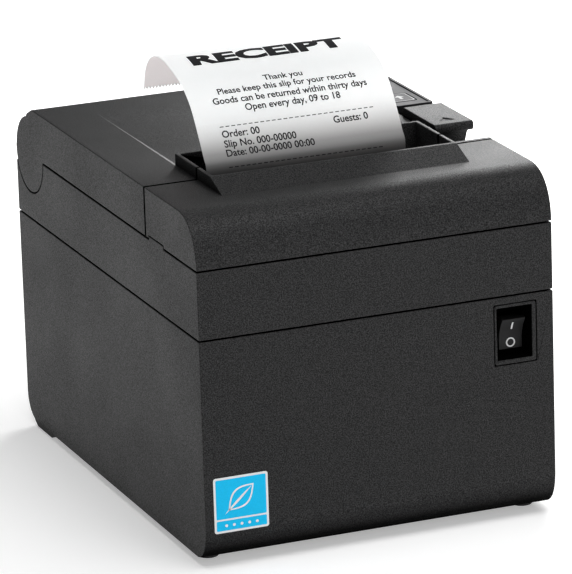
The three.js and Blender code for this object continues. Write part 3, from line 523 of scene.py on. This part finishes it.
# The seam between the covers: the casing's side, the seam's place along it and the casing's top
COVER_SEAM = Vector((
    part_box("base_housing")[1].x,
    (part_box("front_cover")[1].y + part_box("roll_cover")[0].y) / 2,
    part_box("console_housing")[1].z,
))
SWITCH_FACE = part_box("switch_frame")[0].y / MM
MATERIALS = {
    "casing": spark_plastic("charcoal_casing", CHARCOAL, 0.52),
    "covers": spark_plastic("charcoal_covers", CHARCOAL, 0.52, seam=COVER_SEAM),
    "inner": smooth_plastic("inner_moulding", (0.022, 0.022, 0.023), 0.48),
    "black": smooth_plastic("black_moulding", BLACK, 0.34),
    "rocker": smooth_plastic("rocker_moulding", scaled(BLACK, 0.5), 0.6),
    "gear": smooth_plastic("gear_acetal", (0.05, 0.05, 0.055), 0.4),
    "rubber": rubber("foot_rubber", (0.018, 0.018, 0.018)),
    "platen": rubber("platen_rubber", (0.03, 0.03, 0.03)),
    "steel": sheet_steel("plated_steel", (0.56, 0.57, 0.58), 0.36),
    "blade": sheet_steel("ground_blade", (0.7, 0.71, 0.72), 0.24, brushed=(14, 1, 1)),
    "aluminium": sheet_steel("extruded_aluminium", (0.62, 0.63, 0.64), 0.4),
    "paper": paper_surface("thermal_paper", (0.9, 0.895, 0.885)),
    # The receipt has a painted glow and painted shade at its slot
    "receipt": paper_surface("receipt_paper", (0.95, 0.945, 0.94), painted_glow=0.2, shaded=True),
    "roll": paper_surface("wound_paper", (0.88, 0.87, 0.85), wound=True),
    "card": card("core_card", (0.3, 0.19, 0.1)),
    "ceramic": smooth_plastic("head_glaze", (0.5, 0.46, 0.4), 0.2),
    "board": circuit_board_surface("solder_mask", (0.01, 0.1, 0.04)),
    "panel": panel_film("panel_film", (0.13, 0.13, 0.134), BLACK, 0.6),
    "switch": switch_surround("switch_surround", CHARCOAL, 0.52, SWITCH_FACE),
    "ink": printed_ink("printed_ink", (0.006, 0.006, 0.007)),
    "outline": label_print("outline_print", (0.5, 0.5, 0.51)),
    "white": label_print("white_print", (0.86, 0.86, 0.86)),
    "cyan": label_print("label_cyan", (0.0, 0.55, 0.95)),
    "green_lens": lens("green_lens", (0.07, 0.24, 0.09)),
    "red_lens": lens("red_lens", (0.34, 0.03, 0.02)),
    "amber_lens": lens("amber_lens", (0.4, 0.2, 0.03)),
    "gold": sheet_steel("gold_contact", (0.83, 0.6, 0.25), 0.25),
    "floor": floor_surface(),
}

# ---------------------------------------------------------------- CAD nodes

# material: edge rounding in mm and the nodes that it is on
FINISHES = [
    ("casing", 0.36, ["base_housing", "middle_housing"]),
    ("covers", 0.36, ["front_cover", "roll_cover", "console_housing"]),
    ("casing", 0.3, ["open_lever"]),
    ("rubber", 0.5, ["foot_front_left", "foot_front_right", "foot_rear_left", "foot_rear_right"]),
    ("steel", 0.15, [f"case_screw_{i}" for i in (1, 2, 3, 4)]),
    ("steel", 0.2, ["hinge_pin_left", "hinge_pin_right", "mechanism_chassis", "stepper_motor"]),
    ("steel", 0.12, ["idler_pin", "platen_shaft", "latch_hook", "latch_stud", "lever_pin"]),
    ("steel", 0.0, ["head_spring_left", "head_spring_right"]),
    ("steel", 0.15, ["cutter_motor", "interface_plate"]),
    ("inner", 0.3, ["paper_bucket", "cutter_frame"]),
    ("switch", 0.3, ["switch_frame"]),
    ("inner", 0.2, ["platen_bearing_left", "platen_bearing_right"]),
    ("roll", 0.15, ["paper_roll"]),
    ("paper", 0.0, ["paper_web"]),
    ("card", 0.1, ["roll_core"]),
    ("gear", 0.08, ["motor_pinion", "idler_gear", "platen_gear", "cutter_gear"]),
    ("platen", 0.2, ["platen_roller"]),
    ("ceramic", 0.1, ["print_head"]),
    ("aluminium", 0.1, ["head_heatsink"]),
    ("black", 0.2, ["paper_sensor", "cover_switch", "near_end_sensor"]),
    ("rocker", 0.2, ["power_rocker"]),
    ("black", 0.2, ["dc_inlet"]),
    ("steel", 0.2, ["usb_socket", "lan_socket"]),
    ("black", 0.2, ["drawer_socket"]),
    ("blade", 0.04, ["moving_blade", "fixed_blade"]),
    ("panel", 0.25, ["control_panel", "feed_button"]),
    ("green_lens", 0.2, ["power_light"]),
    ("red_lens", 0.2, ["error_light"]),
    ("amber_lens", 0.2, ["paper_light"]),
    ("board", 0.1, ["main_board"]),
]

# The angle from which an edge is a crease and not part of a curve, in degrees
CREASE = 28
SHALLOW_CREASE = {"front_cover": 12}
WELD_MM = 0.002
FLAT_ANGLE = 0.5


def round_edges(thing, width_mm, crease):
    """Merges the flat triangles, rounds the sharp edges and shades the curves smoothly."""
    for attribute in ("custom_normal", "sharp_face"):
        if attribute in thing.data.attributes:
            thing.data.attributes.remove(thing.data.attributes[attribute])
    thing.data.polygons.foreach_set("use_smooth", [True] * len(thing.data.polygons))
    weld = thing.modifiers.new("weld", "WELD")
    weld.merge_threshold = WELD_MM * MM
    flat = thing.modifiers.new("merge_flat_faces", "DECIMATE")
    flat.decimate_type = "DISSOLVE"
    flat.angle_limit = math.radians(FLAT_ANGLE)
    if width_mm:
        rounding = thing.modifiers.new("rounding", "BEVEL")
        rounding.width = width_mm * MM
        rounding.segments = 3
        rounding.limit_method = "ANGLE"
        rounding.angle_limit = math.radians(crease)
        rounding.use_clamp_overlap = False
        rounding.miter_outer = "MITER_ARC"
    normals = thing.modifiers.new("normals", "WEIGHTED_NORMAL")
    normals.weight = 80


def finish_nodes():
    for material, rounding, names in FINISHES:
        for name in names:
            node = NODES[name]
            node.data.materials.clear()
            node.data.materials.append(MATERIALS[material])
            round_edges(node, rounding, SHALLOW_CREASE.get(name, CREASE))


# ---------------------------------------------------------------- mesh helpers


def piece(name, mesh, material, body):
    """An object of its own, which moves with a body of the CAD."""
    made = bpy.data.objects.new(name, mesh)
    bpy.context.scene.collection.objects.link(made)
    mesh.materials.clear()
    mesh.materials.append(MATERIALS[material])
    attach(made, body)
    return made


def flat_mesh(name, loops, thick_mm):
    """A thin plate in millimetres from closed loops of (x, y); a loop inside another is a hole."""
    curve = bpy.data.curves.new(name, "CURVE")
    curve.dimensions = "2D"
    curve.fill_mode = "BOTH"
    curve.extrude = thick_mm / 2
    for loop in loops:
        spline = curve.splines.new("POLY")
        spline.points.add(len(loop) - 1)
        for point, (x, y) in zip(spline.points, loop):
            point.co = (x, y, 0, 1)
        spline.use_cyclic_u = True
    return curve_to_mesh(name, curve)


def text_mesh(name, text, size_mm, thick_mm, bold_mm, wide):
    """Lettering in millimetres, centred on x, with its foot on y = 0."""
    curve = bpy.data.curves.new(name, "FONT")
    curve.body = text
    curve.size = size_mm
    curve.extrude = thick_mm / 2
    curve.offset = bold_mm
    curve.resolution_u = 3
    curve.align_x = "CENTER"
    mesh = curve_to_mesh(name, curve)
    mesh.transform(Matrix.Diagonal((wide, 1, 1, 1)))
    return mesh


def curve_to_mesh(name, curve):
    holder = bpy.data.objects.new(name + "_curve", curve)
    bpy.context.scene.collection.objects.link(holder)
    bpy.context.view_layer.update()
    seen = holder.evaluated_get(bpy.context.evaluated_depsgraph_get())
    mesh = bpy.data.meshes.new_from_object(seen)
    bpy.data.objects.remove(holder)
    mesh.name = name
    return mesh


def mesh_from(name, made, smooth=False):
    """Turns a bmesh into a mesh and frees it."""
    mesh = bpy.data.meshes.new(name)
    made.to_mesh(mesh)
    made.free()
    if smooth:
        mesh.polygons.foreach_set("use_smooth", [True] * len(mesh.polygons))
    return mesh


def join_meshes(name, meshes):
    made = bmesh.new()
    for mesh in meshes:
        made.from_mesh(mesh)
    return mesh_from(name, made)


CORNER_STEPS = 6
CIRCLE_STEPS = 32


def arc(x, y, r, start, end, steps):
    """Points on an arc between two angles in degrees."""
    turns = [math.radians(start + (end - start) * i / steps) for i in range(steps + 1)]
    return [(x + r * math.cos(t), y + r * math.sin(t)) for t in turns]


def rounded_loop(x0, x1, y0, y1, r):
    return [
        *arc(x0 + r, y0 + r, r, 180, 270, CORNER_STEPS),
        *arc(x1 - r, y0 + r, r, 270, 360, CORNER_STEPS),
        *arc(x1 - r, y1 - r, r, 0, 90, CORNER_STEPS),
        *arc(x0 + r, y1 - r, r, 90, 180, CORNER_STEPS),
    ]


def circle(x, y, r):
    return arc(x, y, r, 0, 360, CIRCLE_STEPS)[:-1]


# ---------------------------------------------------------------- receipt

PAPER_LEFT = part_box("receipt")[0].x / MM
PAPER_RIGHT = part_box("receipt")[1].x / MM
PAPER_MIDDLE = (PAPER_LEFT + PAPER_RIGHT) / 2
PAPER_WIDTH = PAPER_RIGHT - PAPER_LEFT
PAPER_THICK = 0.1

# The side view's (y, z) that the middle of the paper passes through, from the cutter to the torn end
CURL = [
    (-48.25, 121), (-48.6, 129), (-49.6, 137.2), (-47, 141.3), (-43.4, 146.9), (-38.1, 154.4),
    (-33.6, 159.2), (-26.7, 163.7), (-19.8, 166.3), (-12.7, 168.2), (-7.5, 169), (-1.7, 168.9),
    (4.2, 167.3), (9.2, 163.6), (12.1, 158.6), (13.6, 152.4),
]
CURL_STEPS = 14


def smooth_line(points, steps):
    """A Catmull-Rom line through the points."""
    line = []
    for i in range(len(points) - 1):
        p = [Vector(points[min(max(i + k, 0), len(points) - 1)]) for k in (-1, 0, 1, 2)]
        for step in range(steps):
            t = step / steps
            a = (p[2] - p[0]) * 0.5
            b = (p[3] - p[1]) * 0.5
            cube = (p[1] - p[2]) * 2 + a + b
            square = (p[2] - p[1]) * 3 - a * 2 - b
            line.append(cube * t**3 + square * t**2 + a * t + p[1])
    line.append(Vector(points[-1]))
    return line


class Strip:
    """Places a point at a length along the curl, x across it and a height above its printed face."""

    def __init__(self, line):
        self.line = line
        self.lengths = [0.0]
        for a, b in zip(line, line[1:]):
            self.lengths.append(self.lengths[-1] + (b - a).length)

    def at(self, length, x, height):
        last = len(self.line) - 2
        i = min(max(bisect_right(self.lengths, length) - 1, 0), last)
        a, b = self.line[i], self.line[i + 1]
        t = (length - self.lengths[i]) / (self.lengths[i + 1] - self.lengths[i])
        before = self.line[max(i - 1, 0)]
        after = self.line[min(i + 2, last + 1)]
        along = ((b - before).normalized().lerp((after - a).normalized(), t)).normalized()
        spot = a.lerp(b, t) + Vector((-along.y, along.x)) * height
        return Vector((x, spot.x, spot.y))


STRIP = Strip(smooth_line(CURL, CURL_STEPS))
TEAR_TOOTH = 1.3
TEAR_DEPTH = 1.2
PAPER_COLUMNS = int(PAPER_WIDTH / TEAR_TOOTH) * 2
PAPER_ROWS = 90


def paper_face(made, height):
    """One face of the receipt as rows of vertices, the last row toothed, with quads between them."""
    grid = []
    for row in range(PAPER_ROWS + 1):
        length = STRIP.lengths[-1] * row / PAPER_ROWS
        line = []
        for column in range(PAPER_COLUMNS + 1):
            x = PAPER_LEFT + PAPER_WIDTH * column / PAPER_COLUMNS
            back = TEAR_DEPTH * (column % 2) if row == PAPER_ROWS else 0
            line.append(made.verts.new(STRIP.at(length - back, x, height) * MM))
        grid.append(line)
    for a, b in zip(grid, grid[1:]):
        for k in range(PAPER_COLUMNS):
            made.faces.new([a[k], a[k + 1], b[k + 1], b[k]])
    return grid


def make_receipt():
    """The strip of paper with its two faces, its edges and its toothed torn end."""
    made = bmesh.new()
    top = paper_face(made, PAPER_THICK / 2)
    under = paper_face(made, -PAPER_THICK / 2)
    columns = PAPER_COLUMNS
    rim = [
        *[(top[0][k], under[0][k]) for k in range(columns)],
        *[(line[-1], low[-1]) for line, low in zip(top, under)],
        *[(top[-1][k], under[-1][k]) for k in range(columns - 1, 0, -1)],
        *[(line[0], low[0]) for line, low in zip(top[::-1], under[::-1])],
    ]
    for (a, a_low), (b, b_low) in zip(rim, rim[1:] + rim[:1]):
        if a is not b:
            made.faces.new([b, a, a_low, b_low])
    bmesh.ops.recalc_face_normals(made, faces=made.faces)
    mesh = mesh_from("receipt_paper", made, smooth=True)
    paper = piece("receipt_paper", mesh, "receipt", "roll_cover")
    paper.modifiers.new("normals", "WEIGHTED_NORMAL")
    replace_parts(paper, "receipt")


# The print's sizes and its places along the curl, in millimetres
HEADER_LENGTH = 63.6
HEADER_SIZE = 10.8
BODY_SIZE = 3.9
INK_HEIGHT = 0.075
INK_THICK = 0.03

# How much bolder the letters are, in millimetres, and how many times as wide
HEADER_STYLE = (0.54, 1.56)
BODY_STYLE = (0.07, 0.94)

# text, the share of the paper's width where its middle or left edge is, its place along, its alignment
PRINTED_LINES = [
    ("Thank you", 0.5, 48.8, "CENTER"),
    ("Please keep this slip for your records", 0.5, 44.7, "CENTER"),
    ("Goods can be returned within thirty days", 0.5, 40.5, "CENTER"),
    ("Open every day, 09 to 18", 0.5, 36.7, "CENTER"),
    ("Guests: 0", 0.76, 27.2, "CENTER"),
    ("Order: 00", 0.115, 27.2, "LEFT"),
    ("Slip No. 000-00000", 0.115, 23.4, "LEFT"),
    ("Date: 00-00-0000 00:00", 0.115, 19.8, "LEFT"),
]

# The two dashed rules: their places along, their left end, and their dashes' number, pitch and size
RULES = [31.3, 15.5]
RULE_LEFT = PAPER_LEFT + 9
DASHES = 27
DASH_PITCH = 2.3
DASH_LENGTH = 1.5
DASH_WIDTH = 0.3


def bend(mesh, strip, across, length, height, band=1.0):
    """Cuts a flat mesh into narrow bands and bends it over a strip, in metres."""
    made = bmesh.new()
    made.from_mesh(mesh)
    low = min(v.co.y for v in made.verts)
    high = max(v.co.y for v in made.verts)
    for i in range(1, int((high - low) / band) + 1):
        everything = made.verts[:] + made.edges[:] + made.faces[:]
        spot = (0, low + band * i, 0)
        bmesh.ops.bisect_plane(made, geom=everything, plane_co=spot, plane_no=(0, 1, 0))
    for v in made.verts:
        v.co = strip.at(length + v.co.y, across + v.co.x, height + v.co.z) * MM
    made.to_mesh(mesh)
    made.free()
    return mesh


def onto_paper(mesh, across, length):
    return bend(mesh, STRIP, across, length, INK_HEIGHT)


def make_print():
    """A header, lines of text and dashed rules, all laid onto the curl."""
    header = text_mesh("header", "RECEIPT", HEADER_SIZE, INK_THICK, *HEADER_STYLE)
    meshes = [onto_paper(header, PAPER_MIDDLE, HEADER_LENGTH)]
    for text, share, length, align in PRINTED_LINES:
        line = text_mesh("line", text, BODY_SIZE, INK_THICK, *BODY_STYLE)
        if align == "LEFT":
            line.transform(Matrix.Translation((-min(v.co.x for v in line.vertices), 0, 0)))
        meshes.append(onto_paper(line, PAPER_LEFT + PAPER_WIDTH * share, length))
    dash = [(0, 0), (DASH_LENGTH, 0), (DASH_LENGTH, DASH_WIDTH), (0, DASH_WIDTH)]
    for length in RULES:
        for i in range(DASHES):
            bar = flat_mesh("dash", [dash], INK_THICK)
            meshes.append(onto_paper(bar, RULE_LEFT + DASH_PITCH * i, length))
    piece("receipt_print", join_meshes("receipt_print", meshes), "ink", "roll_cover")


# ---------------------------------------------------------------- sticker

# In millimetres
SHEET_THICK = 0.12
PRINT_THICK = 0.06
SHEET_CORNER = 0.9
BORDER = 0.85
FIELD_CORNER = 0.4
BAR_TOP = 4.6
BAR_GAP = 0.7
DOT_HEIGHT = 2.7
DOT_PITCH = 3
DOT_RADIUS = 0.55

# The leaf's outer and inner outline and its vein, each with its length and width, the vein's place from
# the leaf's middle, and their lean in degrees
LEAF_OUTLINES = [(13.5, 7.6), (12.0, 6.3)]
VEIN_OUTLINE = (14.5, 0.9)
VEIN_PLACE = (-1.1, -1.0)
LEAF_LEAN = 42
LEAF_STEPS = 14


def on_front(mesh, y):
    """Stands a flat mesh up at a place on Y, its x along X and its y along Z, in metres."""
    mesh.transform(Matrix.Rotation(math.radians(90), 4, "X"))
    mesh.transform(Matrix.Translation((0, y, 0)))
    mesh.transform(Matrix.Scale(MM, 4))
    return mesh


def leaf_loop(x, y, length, width):
    """A leaning, pointed leaf whose two sides are arcs."""
    turn = Matrix.Rotation(math.radians(LEAF_LEAN), 2)
    places = [i / LEAF_STEPS for i in range(LEAF_STEPS)]
    side = [(length * (t - 0.5), width / 2 * math.sin(math.pi * t)) for t in places]
    loop = side + [(-a, -b) for a, b in side]
    return [tuple(turn @ Vector(p) + Vector((x, y))) for p in loop]


def make_sticker():
    """A white sheet, two cyan fields on it, and a white leaf and row of dots on those."""
    low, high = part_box("front_label")
    x0, z0, x1, z1 = low.x / MM, low.z / MM, high.x / MM, high.z / MM
    face = high.y / MM
    sheet_mesh = flat_mesh("label_sheet", [rounded_loop(x0, x1, z0, z1, SHEET_CORNER)], SHEET_THICK)
    on_front(sheet_mesh, face - SHEET_THICK / 2)
    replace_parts(piece("label_sheet", sheet_mesh, "white", "printer"), "front_label")
    bar_top = z0 + BAR_TOP
    fields = [
        rounded_loop(x0 + BORDER, x1 - BORDER, bar_top + BAR_GAP, z1 - BORDER, FIELD_CORNER),
        rounded_loop(x0 + BORDER, x1 - BORDER, z0 + BORDER, bar_top, FIELD_CORNER),
    ]
    front = face - SHEET_THICK - PRINT_THICK / 2
    field_mesh = on_front(flat_mesh("label_field", fields, PRINT_THICK), front)
    piece("label_field", field_mesh, "cyan", "printer")
    x = (x0 + x1) / 2
    z = (bar_top + z1) / 2
    leaf = [leaf_loop(x, z, *size) for size in LEAF_OUTLINES]
    vein = [leaf_loop(x + VEIN_PLACE[0], z + VEIN_PLACE[1], *VEIN_OUTLINE)]
    dots = [circle(x + DOT_PITCH * i, z0 + DOT_HEIGHT, DOT_RADIUS) for i in (-2, -1, 0, 1, 2)]
    shapes = [flat_mesh("mark", loops, PRINT_THICK) for loops in (leaf, vein, dots)]
    marks = join_meshes("label_marks", shapes)
    piece("label_marks", on_front(marks, front - PRINT_THICK), "white", "printer")


# ---------------------------------------------------------------- switch and panel marks

# A mark's thickness, and the gap between it and the face under it, in millimetres
MARK_THICK = 0.06
MARK_GAP = 0.01

# The rocker's face on the side view's (y, z), from its foot up
ROCKER_FACE = [
    (-90.9, 64.8), (-90.9, 69), (-91.15, 70.6), (-91.7, 72.4), (-92.6, 74.4), (-94.4, 77.2),
]

# The places of the rocker's bar and ring along its face
BAR_LENGTH = 9.7
RING_LENGTH = 2.5

# The feed key's outline: the insets from the key's edge and the corners of its outer and inner loop
KEY_OUTLINE = [(0.55, 0.9), (0.8, 0.65)]
ARROW = [(-1.9, 0.4), (0, 2.6), (1.9, 0.4), (0.6, 0.4), (0.6, -2.4), (-0.6, -2.4), (-0.6, 0.4)]

# How far the panel's rim stands over its face, and how far in from the rim's side the icons are
PANEL_RIM = 0.45
ICON_INSET = 3.4
LIGHT_RING = (2.45, 2.25)
ICONS = {
    "power_light": [circle(0, 0, 1.1), circle(0, 0, 0.8)],
    "error_light": [
        [(-1.3, -1), (1.3, -1), (0, 1.3)],
        [(-0.8, -0.72), (0.8, -0.72), (0, 0.72)],
    ],
    "paper_light": [
        rounded_loop(-0.9, 0.9, -1.3, 1.3, 0.2),
        rounded_loop(-0.62, 0.62, -1.02, 1.02, 0.1),
    ],
}


def make_rocker_marks():
    """A bar on the rocker's upper half and a ring on its lower one, bent over its face."""
    low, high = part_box("power_rocker")
    middle = (low.x + high.x) / 2 / MM
    face = Strip([Vector(point) for point in ROCKER_FACE])
    bar = flat_mesh("bar", [rounded_loop(-0.32, 0.32, -1.7, 1.7, 0.25)], MARK_THICK)
    ring = flat_mesh("ring", [circle(0, 0, 1.85), circle(0, 0, 1.3)], MARK_THICK)
    marks = join_meshes("rocker_marks", [
        bend(bar, face, middle, BAR_LENGTH, MARK_THICK, band=0.4),
        bend(ring, face, middle, RING_LENGTH, MARK_THICK, band=0.4),
    ])
    piece("rocker_marks", marks, "white", "power_rocker")


def on_top(mesh, z):
    """Lifts a flat mesh to a height, in metres."""
    mesh.transform(Matrix.Translation((0, 0, z)))
    mesh.transform(Matrix.Scale(MM, 4))
    return mesh


def make_key_marks():
    """A pale outline round the feed key and an arrow on it."""
    low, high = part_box("feed_button")
    x0, y0, x1, y1 = low.x / MM, low.y / MM, high.x / MM, high.y / MM
    top = high.z / MM
    middle = (x0 + x1) / 2
    key_middle = (y0 + y1) / 2
    outline = [
        rounded_loop(x0 + inset, x1 - inset, y0 + inset, y1 - inset, corner)
        for inset, corner in KEY_OUTLINE
    ]
    arrow = [(middle + x, key_middle + y) for x, y in ARROW]
    key = join_meshes("key_marks", [
        flat_mesh("outline", outline, MARK_THICK),
        flat_mesh("arrow", [arrow], MARK_THICK),
    ])
    piece("key_marks", on_top(key, top + MARK_THICK / 2 + MARK_GAP), "outline", "feed_button")


def make_panel_marks():
    """A pale ring round each status light, and a ring, a triangle or a sheet by it as its icon."""
    low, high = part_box("control_panel")
    face = high.z / MM - PANEL_RIM
    x = low.x / MM + ICON_INSET
    shapes = []
    for light, icon in ICONS.items():
        spot = sum(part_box(light), Vector()) / 2 / MM
        shapes.append([circle(spot.x, spot.y, r) for r in LIGHT_RING])
        shapes.append([[(x + a, spot.y + b) for a, b in loop] for loop in icon])
    marks = join_meshes("panel_marks", [flat_mesh("mark", loops, MARK_THICK) for loops in shapes])
    piece("panel_marks", on_top(marks, face + MARK_THICK / 2 + MARK_GAP), "outline", "printer")


# ---------------------------------------------------------------- sockets and board parts


def boxes_mesh(name, boxes, round_mm=0.0):
    """Separate boxes in metres from (x0, x1, y0, y1, z0, z1) in millimetres."""
    made = bmesh.new()
    for x0, x1, y0, y1, z0, z1 in boxes:
        size = Matrix.Diagonal((x1 - x0, y1 - y0, z1 - z0, 1))
        middle = Matrix.Translation(((x0 + x1) / 2, (y0 + y1) / 2, (z0 + z1) / 2))
        bmesh.ops.create_cube(made, size=1, matrix=Matrix.Scale(MM, 4) @ middle @ size)
    if round_mm:
        bmesh.ops.bevel(made, geom=made.edges[:], offset=round_mm * MM, segments=2, affect="EDGES")
    return mesh_from(name, made)


ROD_EDGE_MM = 0.12


def rods_mesh(name, rods, axis="Z"):
    """Separate round rods in metres from (x, y, z, radius, length) in millimetres, with rounded ends."""
    turn = Matrix.Rotation(math.radians(90), 4, "X") if axis == "Y" else Matrix.Identity(4)
    made = bmesh.new()
    for x, y, z, radius, length in rods:
        place = Matrix.Scale(MM, 4) @ Matrix.Translation((x, y, z)) @ turn
        bmesh.ops.create_cone(
            made, segments=32, radius1=radius, radius2=radius, depth=length, cap_ends=True, matrix=place,
        )
    rims = [e for e in made.edges if len(e.link_faces) == 2 and e.calc_face_angle() > 1]
    bmesh.ops.bevel(made, geom=rims, offset=ROD_EDGE_MM * MM, segments=2, affect="EDGES")
    return mesh_from(name, made, smooth=True)


# socket: how many contacts are on its tongue
CONTACTS = {"lan_socket": 8, "drawer_socket": 6, "usb_socket": 4}

# The contacts, in millimetres: how far in from the socket's sides the row is, the tongue's top over the
# socket's middle, each contact's half width as a share of the pitch, and its ends behind the socket's face
CONTACT_INSET = 3.9
TONGUE_TOP = 0.6
CONTACT_HALF = 0.3
CONTACT_ENDS = (8.5, 2.1)


def make_contacts():
    """Gold contacts on the tongues inside the rear sockets, and the power inlet's pin."""
    for name, count in CONTACTS.items():
        low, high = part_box(name)
        x0, x1 = low.x / MM + CONTACT_INSET, high.x / MM - CONTACT_INSET
        top = (low.z + high.z) / 2 / MM + TONGUE_TOP
        near, far = [high.y / MM - depth for depth in CONTACT_ENDS]
        pitch = (x1 - x0) / count
        half = pitch * CONTACT_HALF
        bars = []
        for i in range(count):
            x = x0 + pitch * (i + 0.5)
            bars.append((x - half, x + half, near, far, top - 0.1, top + 0.12))
        piece(name + "_contacts", boxes_mesh(name + "_contacts", bars, 0.04), "gold", "printer")
    low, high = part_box("dc_inlet")
    middle = (low + high) / 2 / MM
    back = high.y / MM
    pin = rods_mesh("dc_inlet_pin", [(middle.x, back - 3.6, middle.z, 1.25, 6.0)], axis="Y")
    piece("dc_inlet_pin", pin, "steel", "printer")


# The interface plate's screws: their (x, z), and a head's radius and thickness
PLATE_SCREWS = [(-50.5, 31.5), (43, 31.5)]
SCREW_HEAD = (2.6, 1.4)

# The two bars of a screw's cross: half width, half height and how far it stands out from the plate
CROSS_BARS = [(1.6, 0.3, 1.34), (0.3, 1.6, 1.35)]


def make_plate_screws():
    """Two cross-head screws that hold the interface plate."""
    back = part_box("interface_plate")[1].y / MM
    screws = [(x, back + 0.6, z, *SCREW_HEAD) for x, z in PLATE_SCREWS]
    heads = rods_mesh("plate_screws", screws, axis="Y")
    piece("plate_screws", heads, "steel", "printer")
    slots = []
    for x, z in PLATE_SCREWS:
        for wide, tall, out in CROSS_BARS:
            slots.append((x - wide, x + wide, back + 1.0, back + out, z - tall, z + tall))
    piece("plate_screw_slots", boxes_mesh("plate_screw_slots", slots), "black", "printer")


# chip: x, y, half width and half depth on the board, and its height
CHIPS = [(-14, 34, 8, 8, 1.5), (16, 20, 6, 9, 1.3), (-40, 14, 5, 7, 1.6), (34, 46, 5, 4, 1.2)]
LEG_PITCH = 1.27

# capacitor: x, y, radius and height on the board
CAPACITORS = [(42, 66, 3.0, 4.8), (50, 66, 3.0, 4.8), (46, 58, 2.4, 3.8)]


def make_board_parts():
    """Chips with their legs, capacitors and a crystal on the main board."""
    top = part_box("main_board")[1].z / MM
    bodies = [(x - w, x + w, y - d, y + d, top + 0.2, top + 0.2 + h) for x, y, w, d, h in CHIPS]
    piece("board_chips", boxes_mesh("board_chips", bodies, 0.15), "black", "printer")
    legs = []
    for x, y, w, d, _ in CHIPS:
        for i in range(int(2 * d / LEG_PITCH)):
            at = y - d + 0.8 + LEG_PITCH * i
            for side in (-1, 1):
                near, far = sorted((x + side * (w - 0.2), x + side * (w + 1.3)))
                legs.append((near, far, at - 0.25, at + 0.25, top - 0.02, top + 0.35))
    piece("board_chip_legs", boxes_mesh("board_chip_legs", legs), "steel", "printer")
    cans = [(x, y, top + h / 2, r, h) for x, y, r, h in CAPACITORS]
    piece("board_capacitors", rods_mesh("board_capacitors", cans), "aluminium", "printer")
    crystal = [(-2, 3, 50, 58, top, top + 2.2)]
    piece("board_crystal", boxes_mesh("board_crystal", crystal, 0.5), "steel", "printer")


# ---------------------------------------------------------------- build

make_camera()
make_world()
make_lights()
make_floor(MATERIALS["floor"])
finish_nodes()
make_receipt()
make_print()
make_sticker()
make_rocker_marks()
make_key_marks()
make_panel_marks()
make_contacts()
make_plate_screws()
make_board_parts()
